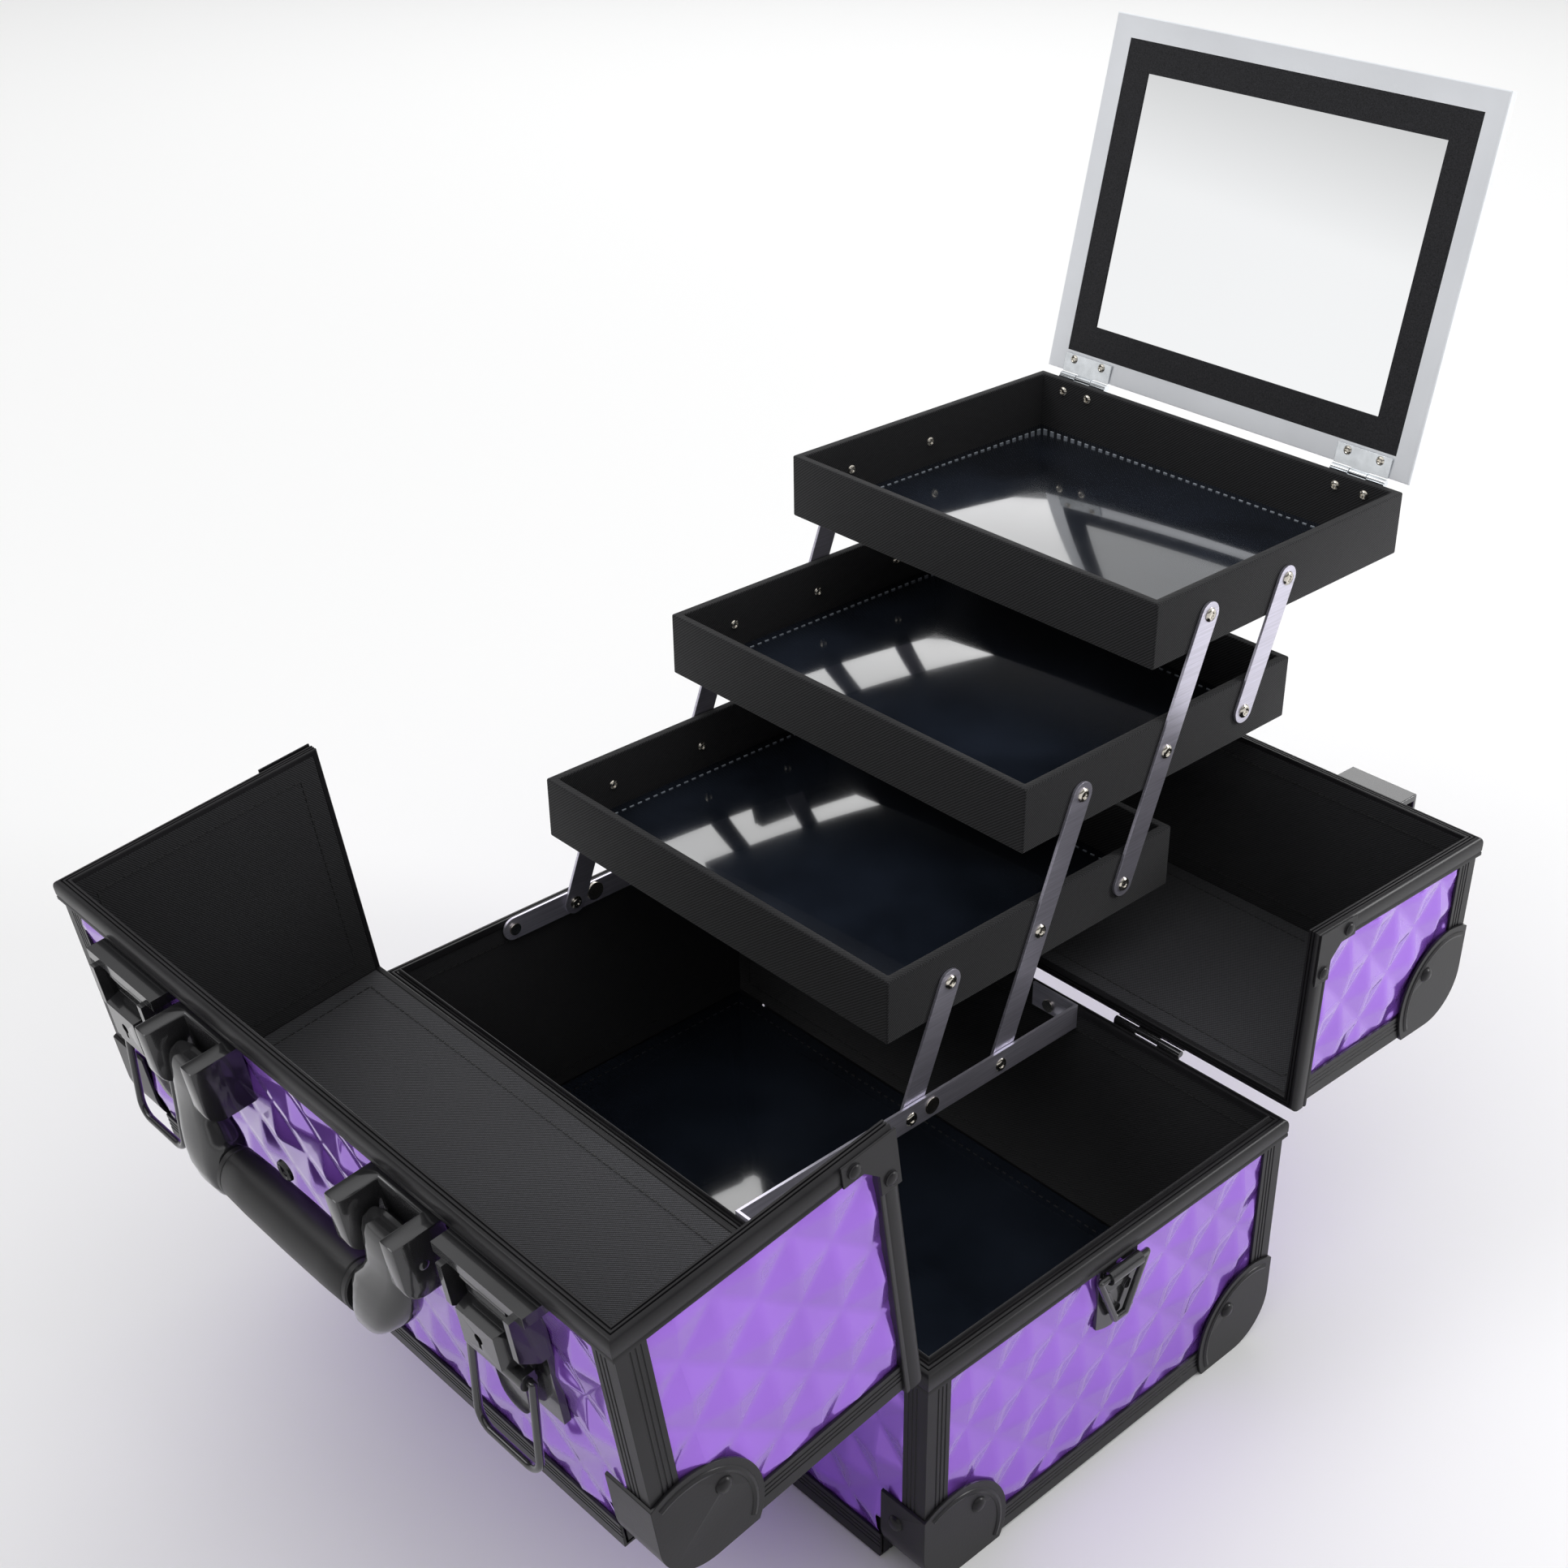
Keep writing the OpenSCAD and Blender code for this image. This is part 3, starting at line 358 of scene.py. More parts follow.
def plated_finish(name, base, rough):
    """Bright plating with slight blotches."""
    material, tree, shader = shader_of(name, base, rough, metal=1.0)
    place = place_of(tree)
    blotch = noise(tree, place, 160, 4)
    tint(tree, shader, blotch, scaled(base, 0.8), scaled(base, 1.08))
    tree.links.new(spread(tree, blotch, rough * 0.7, rough * 1.6), shader.inputs["Roughness"])
    return material


def silver_finish():
    """Satin silver extrusion with a fine grain."""
    base = colours().silver
    material, tree, shader = shader_of("satin_silver", base, 0.32, metal=0.35)
    place = place_of(tree)
    soft = noise(tree, place, 18, 3)
    tint(tree, shader, soft, scaled(base, 0.95), scaled(base, 1.03))
    tree.links.new(spread(tree, noise(tree, place, 400, 3), 0.26, 0.4), shader.inputs["Roughness"])
    bump(tree, shader, noise(tree, place, 1200, 2), 0.01 * MM, 0.3)
    return material


def mirror_finish():
    material, tree, shader = shader_of("silvered_glass", (0.93, 0.94, 0.95), 0.015, metal=1.0)
    haze = noise(tree, place_of(tree), 9, 2)
    tree.links.new(spread(tree, haze, 0.008, 0.03), shader.inputs["Roughness"])
    return material


def paper_finish():
    """Grained black paper of the mirror's mat."""
    base = (0.014, 0.014, 0.016)
    material, tree, shader = shader_of("grained_paper", base, 0.8, specular=0.3)
    place = place_of(tree)
    grain = noise(tree, place, 1800, 3, 0.7)
    tint(tree, shader, grain, scaled(base, 0.4), scaled(base, 2.6), 0.3, 0.75)
    bump(tree, shader, grain, 0.1 * MM, 0.6)
    return material


def thread_finish(name, base):
    material, tree, shader = shader_of(name, base, 0.6, sheen=0.2)
    twist = noise(tree, place_of(tree), 2200, 2)
    tint(tree, shader, twist, scaled(base, 0.7), scaled(base, 1.2))
    return material


def arm_lean():
    """Angle of the open arms above level."""
    run = pivot("tray_1_level") - pivot("tray_fold")
    return math.atan2(run.z, run.y)


MAKERS = {
    "laminate": laminate_finish,
    "trim": trim_finish,
    "corner": lambda: trim_finish("moulded_corner", 0.3, 0.09),
    "gloss": gloss_finish,
    "grip": grip_finish,
    "lining": lambda: cloth_finish("lining_twill", colours().twill, 0.85 * MM),
    "wall_lining": lambda: cloth_finish("wall_twill", scaled(colours().twill, 2.2), 0.95 * MM),
    # The last number of the tray twill is the brightness of the painted highlight on its ribs
    "tray_cloth": lambda: cloth_finish("tray_twill", scaled(colours().twill, 0.62), 1.1 * MM, 0.16, 3.4),
    "film": film_finish,
    "arm_metal": lambda: brushed_finish("brushed_arm", arm_lean()),
    "bar_metal": lambda: brushed_finish("brushed_bar", 0.0),
    "nickel": lambda: plated_finish("nickel", (0.66, 0.62, 0.55), 0.16),
    "zinc": lambda: plated_finish("bright_zinc", (0.72, 0.75, 0.78), 0.12),
    "silver": silver_finish,
    "mirror": mirror_finish,
    "paper": paper_finish,
    "pale_thread": lambda: thread_finish("pale_thread", (0.42, 0.46, 0.52)),
    "dark_thread": lambda: thread_finish("dark_thread", (0.004, 0.004, 0.005)),
}
SLOT_FINISH = {
    "black_trim": "trim", "gloss_black": "gloss", "grip_black": "grip", "purple_panel": "laminate",
    "lined_board": "lining", "tray_fabric": "tray_cloth", "clear_floor": "film",
    "brushed_metal": "bar_metal", "bright_steel": "nickel", "frame_white": "silver",
    "mirror_glass": "mirror",
}
_made = {}


def finish(name):
    if name not in _made:
        _made[name] = MAKERS[name]()
    return _made[name]


# ---------- mesh helpers ----------

def facing(origin, u, v):
    """Places local X along u and local Y along v, so that local Z looks along their cross."""
    w = u.cross(v)
    matrix = Matrix((u, v, w)).transposed().to_4x4()
    matrix.translation = origin
    return matrix


def join(bm, part, matrix=None):
    """Moves a part's mesh into bm."""
    if matrix is not None:
        bmesh.ops.transform(part, matrix=matrix, verts=part.verts)
    carrier = bpy.data.meshes.new("carrier")
    part.to_mesh(carrier)
    part.free()
    bm.from_mesh(carrier)
    bpy.data.meshes.remove(carrier)


def block(lo, hi):
    """A new box from its low corner to its high corner."""
    bm = bmesh.new()
    lo, hi = Vector(lo), Vector(hi)
    middle = Matrix.Translation((lo + hi) / 2) @ Matrix.Diagonal((*(hi - lo), 1))
    bmesh.ops.create_cube(bm, size=1, matrix=middle)
    return bm


def soften(bm, width, segments=2, edges=None):
    """Rounds edges, or all the sharp ones."""
    if edges is None:
        edges = [e for e in bm.edges if e.is_manifold and e.calc_face_angle(0) > math.radians(35)]
    bmesh.ops.bevel(bm, geom=edges, offset=width, offset_type="OFFSET", affect="EDGES",
                    segments=segments, profile=0.5, material=-1, clamp_overlap=True)


def turned(outline, steps=24):
    """Spins an outline of (radius, height) points round Z."""
    bm = bmesh.new()
    verts = [bm.verts.new((radius, 0, height)) for radius, height in outline]
    edges = [bm.edges.new(pair) for pair in zip(verts, verts[1:])]
    bmesh.ops.spin(bm, geom=verts + edges, cent=(0, 0, 0), axis=(0, 0, 1), angle=2 * math.pi,
                   steps=steps, use_merge=True)
    bmesh.ops.remove_doubles(bm, verts=bm.verts, dist=0.002 * MM)
    bmesh.ops.recalc_face_normals(bm, faces=bm.faces)
    return bm


def mitred_ring(outline, half_x, half_y):
    """Sweeps a closed outline of (outward, upward) points round a rectangle."""
    reach = 1.0
    bm = bmesh.new()
    verts = [bm.verts.new((reach + out, reach + out, up)) for out, up in outline]
    edges = [bm.edges.new((verts[k - 1], verts[k])) for k in range(len(verts))]
    bmesh.ops.spin(bm, geom=verts + edges, cent=(0, 0, 0), axis=(0, 0, 1), angle=2 * math.pi,
                   steps=4, use_merge=True)
    bmesh.ops.remove_doubles(bm, verts=bm.verts, dist=0.002 * MM)
    for vert in bm.verts:
        vert.co.x += math.copysign(1, vert.co.x) * (half_x - reach)
        vert.co.y += math.copysign(1, vert.co.y) * (half_y - reach)
    bmesh.ops.recalc_face_normals(bm, faces=bm.faces)
    return bm


def cut(bm, point, normal, close=True):
    """Takes away what lies beyond a plane, on the side that its normal looks to."""
    bmesh.ops.bisect_plane(bm, geom=bm.verts[:] + bm.edges[:] + bm.faces[:], plane_co=point,
                           plane_no=normal, clear_outer=True, dist=0.001 * MM)
    if close:
        bmesh.ops.holes_fill(bm, edges=[e for e in bm.edges if e.is_boundary])


def weave_map(bm):
    """Lays the cloth's own map on each face, in metres along the face."""
    layer = bm.loops.layers.uv.get("weave") or bm.loops.layers.uv.new("weave")
    for face in bm.faces:
        size = [abs(part) for part in face.normal]
        axis = size.index(max(size))
        for loop in face.loops:
            co = loop.vert.co
            loop[layer].uv = ((co.y, co.z), (co.x, co.z), (co.x, co.y))[axis]


def piece_of(bm, name, body, finish_name, replaces=(), sharp=35):
    """Turns a finished bmesh into a piece that rides on a body."""
    mesh = bpy.data.meshes.new(name)
    bm.to_mesh(mesh)
    bm.free()
    mesh.shade_smooth()
    mesh.set_sharp_from_angle(angle=math.radians(sharp))
    mesh.materials.append(finish(finish_name))
    piece = bpy.data.objects.new(name, mesh)
    bpy.context.scene.collection.objects.link(piece)
    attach(piece, body)
    if replaces:
        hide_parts(*replaces)
    return piece


def dressed(node, width, finish_name=None, segments=2, weave=False):
    """A copy of a CAD node with its edges rounded."""
    source = frame["nodes"][node]
    bm = bmesh.new()
    bm.from_mesh(source.data)
    for layer in list(bm.loops.layers.uv.values()):
        bm.loops.layers.uv.remove(layer)
    bmesh.ops.remove_doubles(bm, verts=bm.verts, dist=0.002 * MM)
    bmesh.ops.dissolve_limit(bm, angle_limit=math.radians(0.6), verts=bm.verts, edges=bm.edges)
    if weave:
        weave_map(bm)
    piece = piece_of(bm, node + "_piece", source["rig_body"], finish_name or SLOT_FINISH[SLOTS[node]],
                     [node], sharp=30)
    bevel = piece.modifiers.new("edges", "BEVEL")
    bevel.width = width
    bevel.segments = segments
    bevel.limit_method = "ANGLE"
    bevel.angle_limit = math.radians(38)
    bevel.harden_normals = True
    return piece


def stitch_row(bm, start, end, up, length, pitch, width=0.55 * MM, height=0.3 * MM):
    """Lays stitches from start to end, proud along up."""
    run = end - start
    along = run.normalized()
    count = max(int(run.length / pitch), 1)
    for k in range(count):
        middle = start + run * ((k + 0.5) / count)
        join(bm, block((-length / 2, -width / 2, -height / 2), (length / 2, width / 2, height)),
             facing(middle, along, up.cross(along)))


def stitch_loop(bm, corners, up, length, pitch):
    """Lays stitches round a closed outline of corners."""
    for k, corner in enumerate(corners):
        stitch_row(bm, corners[k - 1], corner, up, length, pitch)


# ---------- embossed panels ----------

# A base panel has a rail on its left, its right and below it, and a rim above
ABOVE = (1, 1, 1, 0)

def embossed(width, height, notches, covered):
    """A sheet of pyramids centred on the origin, proud to +Z, with notched corners.
    A notch is (x sign, y sign, x size, y size). A rail presses the sheet flat along the
    covered sides, which are (left, right, lower, upper)."""
    step = sizes().pyramid
    columns = 2 * math.ceil(width / step / 2)
    rows = 2 * math.ceil(height / step / 2)
    bm = bmesh.new()
    bmesh.ops.create_grid(bm, x_segments=columns, y_segments=rows, size=0.5)
    bmesh.ops.transform(bm, matrix=Matrix.Diagonal((columns * step, rows * step, 1, 1)), verts=bm.verts)

    def raised(vert):
        return (round(vert.co.x / step) + round(vert.co.y / step)) % 2 == 1

    for face in bm.faces[:]:
        low = [vert for vert in face.verts if not raised(vert)]
        bmesh.utils.face_split(face, low[0], low[1])
    for vert in bm.verts:
        vert.co.z = sizes().relief if raised(vert) else 0
    bmesh.ops.subdivide_edges(bm, edges=bm.edges, cuts=6, use_grid_fill=True)
    bmesh.ops.triangulate(bm, faces=bm.faces)
    inner = [vert for vert in bm.verts if not vert.is_boundary]
    bmesh.ops.smooth_vert(bm, verts=inner, factor=0.28, use_axis_z=True)
    left, right, lower, upper = (10.4 * MM if side else 1 * MM for side in covered)
    for vert in bm.verts:
        if (vert.co.x < left - width / 2 or vert.co.x > width / 2 - right
                or vert.co.y < lower - height / 2 or vert.co.y > height / 2 - upper):
            vert.co.z = min(vert.co.z, 0.5 * MM)
    for axis, half in ((X, width / 2), (Y, height / 2)):
        for sign in (-1, 1):
            cut(bm, axis * half * sign, axis * sign, close=False)
    for sx, sy, nx, ny in notches:
        edge_x, edge_y = sx * (width / 2 - nx), sy * (height / 2 - ny)
        for point, normal in (((edge_x, 0, 0), X), ((0, edge_y, 0), Y)):
            bmesh.ops.bisect_plane(bm, geom=bm.verts[:] + bm.edges[:] + bm.faces[:],
                                   plane_co=point, plane_no=normal, dist=0.001 * MM)
        gone = [face for face in bm.faces
                if (face.calc_center_median().x - edge_x) * sx > 0
                and (face.calc_center_median().y - edge_y) * sy > 0]
        bmesh.ops.delete(bm, geom=gone, context="FACES")
    return bm


def panel_piece(name, body, node, sheets, place=None):
    """One piece of several embossed sheets, each (width, height, notches, covered, placing)."""
    bm = bmesh.new()
    for width, height, notches, covered, matrix in sheets:
        join(bm, embossed(width, height, notches, covered), matrix)
    if place is not None:
        bmesh.ops.transform(bm, matrix=place, verts=bm.verts)
    piece = piece_of(bm, name, body, "laminate", [node], sharp=180)
    wall = piece.modifiers.new("sheet", "SOLIDIFY")
    wall.thickness = 0.25 * MM
    wall.offset = -1
    return piece


class TRAINCASE_OT_panels(bpy.types.Operator):
    """Make the embossed panels of the base and of both lid halves"""
    bl_idname = "traincase.panels"
    bl_label = "Embossed Panels"

    def execute(self, context):
        low = BOARD_IN - 0.05 * MM
        side_x, side_y = HALF_L - low, HALF_W - low
        notch_x, notch_r = CORNER_X + 1.5 * MM, CORNER_R + 0.5 * MM
        bottom, top = FLOOR_Z, BASE_H - RIM_H + 1 * MM
        mid, tall = (bottom + top) / 2, top - bottom
        ends = [(-1, -1, notch_r, notch_r), (1, -1, notch_r, notch_r)]
        walls = [(-1, -1, notch_x, notch_r), (1, -1, notch_x, notch_r)]
        under = 2 * MM
        panel_piece("base_embossed_panels", "base", "base_panels", [
            (2 * side_x, tall, walls, ABOVE, facing(Vector((0, -side_y, mid)), X, Z)),
            (2 * side_x, tall, walls, ABOVE, facing(Vector((0, side_y, mid)), -X, Z)),
            (2 * side_y, tall, ends, ABOVE, facing(Vector((side_x, 0, mid)), Y, Z)),
            (2 * side_y, tall, ends, ABOVE, facing(Vector((-side_x, 0, mid)), -Y, Z)),
            (2 * (HALF_L - CORNER_X), 2 * (HALF_W - 12 * MM), [], (0, 0, 0, 0),
             facing(Vector((0, 0, under)), X, -Y))])
        for half, body, depth, place in (("front", "front_lid", FRONT_DEPTH, FRONT),
                                         ("back", "back_lid", BACK_DEPTH, BACK)):
            wall_low, wall_top = RIM_H - 1 * MM, LID_H - low
            split = depth - RIM_H + 1 * MM
            wall_mid, wall_tall = (wall_low + wall_top) / 2, wall_top - wall_low
            deep, deep_mid = split - low, (split + low) / 2
            top_notches = [(-1, -1, notch_x, notch_r), (1, -1, notch_x, notch_r)]
            wall_notches = [(-1, 1, notch_x, notch_r), (1, 1, notch_x, notch_r)]
            panel_piece(half + "_embossed_panels", body, half + "_lid_panels", [
                (2 * side_x, wall_tall, wall_notches, (1, 1, 0, 1),
                 facing(Vector((0, low, wall_mid)), X, Z)),
                (2 * side_x, deep, top_notches, (1, 1, 1, 0),
                 facing(Vector((0, deep_mid, LID_H - low)), X, Y)),
                (deep, wall_tall, [(-1, 1, notch_r, notch_r)], (1, 0, 0, 1),
                 facing(Vector((side_x, deep_mid, wall_mid)), Y, Z)),
                (deep, wall_tall, [(1, 1, notch_r, notch_r)], (0, 1, 0, 1),
                 facing(Vector((-side_x, deep_mid, wall_mid)), -Y, Z))], place)
        return {"FINISHED"}


# ---------- extrusions ----------

# Rim of the base, as (outward from the rail face, above the rim) in millimetres
BASE_RIM = [(0.1, -9), (1.1, -9), (1.4, -8.7), (1.4, -7.4), (1.2, -7.1), (1.2, -6.7), (1.4, -6.4),
            (1.4, -3.2), (1.3, -2.2), (0.95, -1.2), (0.4, -0.5), (-0.4, -0.05), (-1.2, -0.05),
            (-1.35, -0.7), (-1.75, -0.7), (-1.9, -0.05), (-2.2, 0.05), (-2.6, 0.05), (-2.85, -0.05),
            (-3, -0.7), (-3.5, -0.7), (-3.7, 0), (-4.4, 0), (-4.5, 1.3), (-4.75, 1.75),
            (-5.15, 1.7), (-5.3, 1.3), (-5.3, -1.6), (-4.5, -1.6), (-4.5, -1.1), (-1.9, -1.1),
            (-1.9, -9)]
# Rim of a lid half, as (outward from the rail face, inward from the edge)
LID_RIM = [(0.1, 9), (1.1, 9), (1.4, 8.7), (1.4, 7.4), (1.2, 7.1), (1.2, 6.7), (1.4, 6.4),
           (1.4, 3.2), (1.3, 2.2), (0.95, 1.2), (0.4, 0.5), (-0.4, 0.05), (-1.1, 0.05),
           (-1.25, 0.8), (-1.65, 0.8), (-1.8, 0.05), (-2.5, 0.05), (-2.65, 0.8), (-3.05, 0.8),
           (-3.2, 0.05), (-4, 0.05), (-4.25, 0.4), (-4.25, 2.2), (-3.9, 2.4), (-3.9, 1.1),
           (-1.9, 1.1), (-1.9, 9)]


def in_metres(outline):
    return [(out * MM, up * MM) for out, up in outline]


def lid_rim(depth):
    """Rims of a lid half's lower edge and split edge, mitred where they meet."""
    bm = bmesh.new()
    corner = Vector((0, depth, 0))
    lower = mitred_ring(in_metres(LID_RIM), HALF_L, depth)
    bmesh.ops.transform(lower, matrix=Matrix.Translation((0, depth, 0)), verts=lower.verts)
    cut(lower, corner, Y + Z)
    join(bm, lower)
    split = mitred_ring(in_metres(LID_RIM), HALF_L, LID_H)
    turn = facing(Vector((0, depth, 0)), -X, -Z)
    bmesh.ops.transform(split, matrix=turn, verts=split.verts)
    cut(split, corner, -Y - Z)
    join(bm, split)
    return bm


def stud(radius, height):
    """Domed head of a rivet."""
    return turned([(0, height), (radius * 0.5, height * 0.9), (radius * 0.82, height * 0.55),
                   (radius, 0), (radius, -0.2 * MM), (0, -0.2 * MM)], 20)


def arc_ridge(centre, radius, start, sweep):
    """A half-round ridge along an arc in the YZ plane, proud to -X."""
    bm = bmesh.new()
    section = [(-1.5, 0.2), (-1.1, -0.35), (0, -0.7), (1.1, -0.35), (1.5, 0.2)]
    verts = [bm.verts.new((x * MM, radius + r * MM, 0)) for r, x in section]
    first = bm.faces.new(verts)
    bmesh.ops.rotate(bm, verts=verts, cent=(0, 0, 0), matrix=Matrix.Rotation(start, 3, "X"))
    bmesh.ops.spin(bm, geom=[first], cent=(0, 0, 0), axis=(1, 0, 0), angle=sweep, steps=18)
    bmesh.ops.translate(bm, vec=centre, verts=bm.verts)
    bmesh.ops.recalc_face_normals(bm, faces=bm.faces)
    return bm


def corner_details(places, matrix=None):
    """Rivets and ridges of several protectors, each (outer corner, its three directions)."""
    bm = bmesh.new()
    for corner, signs in places:
        part = arc_ridge(Vector((0, 15.2, 13.2)) * MM, 26 * MM, math.radians(-22), math.radians(136))
        join(part, stud(3.5 * MM, 1.9 * MM), facing(Vector((0, 29, 28)) * MM, Z, Y))
        join(part, stud(3.5 * MM, 1.9 * MM), facing(Vector((15, 0, 28)) * MM, X, Z))
        join(bm, part, Matrix.Translation(corner) @ Matrix.Diagonal((*signs, 1)))
    if matrix is not None:
        bmesh.ops.transform(bm, matrix=matrix, verts=bm.verts)
    bmesh.ops.recalc_face_normals(bm, faces=bm.faces)
    return bm


class TRAINCASE_OT_extrusions(bpy.types.Operator):
    """Make the rims, rails, posts and corner protectors"""
    bl_idname = "traincase.extrusions"
    bl_label = "Extrusions and Corners"

    def execute(self, context):
        rim = mitred_ring(in_metres(BASE_RIM), HALF_L, HALF_W)
        bmesh.ops.transform(rim, matrix=Matrix.Translation((0, 0, BASE_H)), verts=rim.verts)
        piece_of(rim, "base_rim_extrusion", "base", "trim", ["base_rim"])
        for half, depth, place in (("front", FRONT_DEPTH, FRONT), ("back", BACK_DEPTH, BACK)):
            bm = lid_rim(depth)
            bmesh.ops.transform(bm, matrix=place, verts=bm.verts)
            piece_of(bm, half + "_rim_extrusion", half + "_lid", "trim",
                     [half + "_lid_rim"])
            dressed(half + "_lid_rails", 0.25 * MM)
            dressed(half + "_lid_corners", 0.5 * MM, "corner")
            dressed(half + "_lid_braces", 0.3 * MM)
            dressed(half + "_hinge_leaves", 0.15 * MM)
            reach, up = HALF_L + CORNER_T, LID_H + CORNER_T
            places = [(Vector((-sx * reach, -CORNER_T, up)), (sx, 1, -1)) for sx in (-1, 1)]
            piece_of(corner_details(places, place), half + "_corner_rivets", half + "_lid",
                     "corner")
            rivets = bmesh.new()
            for sx in (-1, 1):
                for y, z in ((-4.5, 19), (-19, 4.5)):
                    point = Vector((sx * (HALF_L + 2.2 * MM), depth + y * MM, z * MM))
                    join(rivets, stud(3 * MM, 1.5 * MM), facing(point, Y * sx, Z))
            bmesh.ops.transform(rivets, matrix=place, verts=rivets.verts)
            piece_of(rivets, half + "_brace_rivets", half + "_lid", "corner")
        dressed("corner_posts", 0.25 * MM)
        dressed("bottom_rails", 0.25 * MM)
        dressed("base_corners", 0.5 * MM, "corner")
        reach, side = HALF_L + CORNER_T, HALF_W + CORNER_T
        places = [(Vector((-sx * reach, -sy * side, 0)), (sx, sy, 1))
                  for sx in (-1, 1) for sy in (-1, 1)]
        piece_of(corner_details(places), "base_corner_rivets", "base", "corner")
        dressed("base_hinges", 0.15 * MM)
        return {"FINISHED"}


# ---------- linings ----------

def lining_sheet(width, height):
    """A thin cloth panel centred on the origin, proud to +Z."""
    bm = block((-width / 2, -height / 2, 0), (width / 2, height / 2, 0.35 * MM))
    top = [edge for edge in bm.edges if all(vert.co.z > 0.1 * MM for vert in edge.verts)]
    soften(bm, 0.25 * MM, 2, top)
    weave_map(bm)
    return bm


def hem(width, height, inset):
    """Four stitch lines set in from a lining's edges."""
    bm = bmesh.new()
    x, y = width / 2 - inset, height / 2 - inset
    corners = [Vector((sx * x, sy * y, 0.35 * MM)) for sx, sy in ((-1, -1), (1, -1), (1, 1), (-1, 1))]
    stitch_loop(bm, corners, Z, sizes().stitch * 1.2, sizes().stitch_pitch * 0.8)
    return bm


def lining_piece(name, body, sheets, place=None, finish_name="lining"):
    """Cloth panels with their hems, each (width, height, placing)."""
    cloth, thread = bmesh.new(), bmesh.new()
    for width, height, matrix in sheets:
        join(cloth, lining_sheet(width, height), matrix)
        join(thread, hem(width, height, sizes().hem_inset), matrix)
    for bm in (cloth, thread):
        if place is not None:
            bmesh.ops.transform(bm, matrix=place, verts=bm.verts)
    piece_of(cloth, name, body, finish_name)
    piece_of(thread, name + "_stitches", body, "dark_thread")


class TRAINCASE_OT_linings(bpy.types.Operator):
    """Line the boards of the base and of both lid halves with twill"""
    bl_idname = "traincase.linings"
    bl_label = "Linings"

    def execute(self, context):
        inner_x, inner_y = HALF_L - BASE_WALL, HALF_W - BASE_WALL
        bottom, top = FLOOR_Z + 5.2 * MM, BASE_H - 2 * MM
        mid, tall = (bottom + top) / 2, top - bottom
        lining_piece("base_lining", "base", [
            (2 * inner_x, tall, facing(Vector((0, -inner_y, mid)), -X, Z)),
            (2 * inner_x, tall, facing(Vector((0, inner_y, mid)), X, Z)),
            (2 * inner_y, tall, facing(Vector((inner_x, 0, mid)), -Y, Z)),
            (2 * inner_y, tall, facing(Vector((-inner_x, 0, mid)), Y, Z))])
        for half, depth, place in (("front", FRONT_DEPTH, FRONT), ("back", BACK_DEPTH, BACK)):
            edge = 2.4 * MM
            half_x = HALF_L - LID_WALL
            wall_tall, wall_mid = LID_H - LID_WALL - edge, (LID_H - LID_WALL + edge) / 2
            deep, deep_mid = depth - LID_WALL - edge, (depth + LID_WALL - edge) / 2
            lining_piece(half + "_lid_lining", half + "_lid", [
                (2 * half_x, deep, facing(Vector((0, deep_mid, LID_H - LID_WALL)), X, -Y)),
                (deep, wall_tall, facing(Vector((half_x, deep_mid, wall_mid)), -Y, Z)),
                (deep, wall_tall, facing(Vector((-half_x, deep_mid, wall_mid)), Y, Z))], place)
            lining_piece(half + "_wall_lining", half + "_lid", [
                (2 * half_x - 2 * MM, wall_tall - 1 * MM,
                 facing(Vector((0, LID_WALL, wall_mid)), -X, Z))], place, "wall_lining")
        pad = film_sheet(*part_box("floor_pad"))
        piece_of(pad, "base_floor_film", "base", "film", ["floor_pad"])
        low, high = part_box("floor_pad")
        rows = film_stitches(low, high, 7 * MM)
        piece_of(rows, "base_floor_stitches", "base", "dark_thread")
        return {"FINISHED"}


# ---------- trays ----------

def film_sheet(low, high):
    """A film-covered board with rolled edges."""
    bm = block(low, high)
    soften(bm, 0.5 * MM, 3)
    return bm


def film_stitches(low, high, inset):
    """Stitches just inside the edge of a film."""
    bm = bmesh.new()
    x0, y0, x1, y1 = low.x + inset, low.y + inset, high.x - inset, high.y - inset
    corners = [Vector((x, y, high.z)) for x, y in ((x0, y0), (x1, y0), (x1, y1), (x0, y1))]
    stitch_loop(bm, corners, Z, sizes().stitch, sizes().stitch_pitch)
    return bm


def tray_wall():
    """Wall thickness of a tray, a fixed size."""
    return 4.2 * MM


def tray_shell(low, high, wall, floor):
    """A cloth-wrapped open box with soft rims."""
    bm = block(low, high)
    top = max(bm.faces, key=lambda face: face.calc_center_median().z)
    bmesh.ops.inset_individual(bm, faces=[top], thickness=wall, use_even_offset=True)
    sunk = bmesh.ops.extrude_face_region(bm, geom=[top])
    verts = [item for item in sunk["geom"] if isinstance(item, bmesh.types.BMVert)]
    bmesh.ops.translate(bm, vec=(0, 0, floor - (high.z - low.z)), verts=verts)
    if top.is_valid:
        bmesh.ops.delete(bm, geom=[top], context="FACES_ONLY")
    bmesh.ops.recalc_face_normals(bm, faces=bm.faces)
    soften(bm, sizes().rim_round, 3)
    weave_map(bm)
    return bm


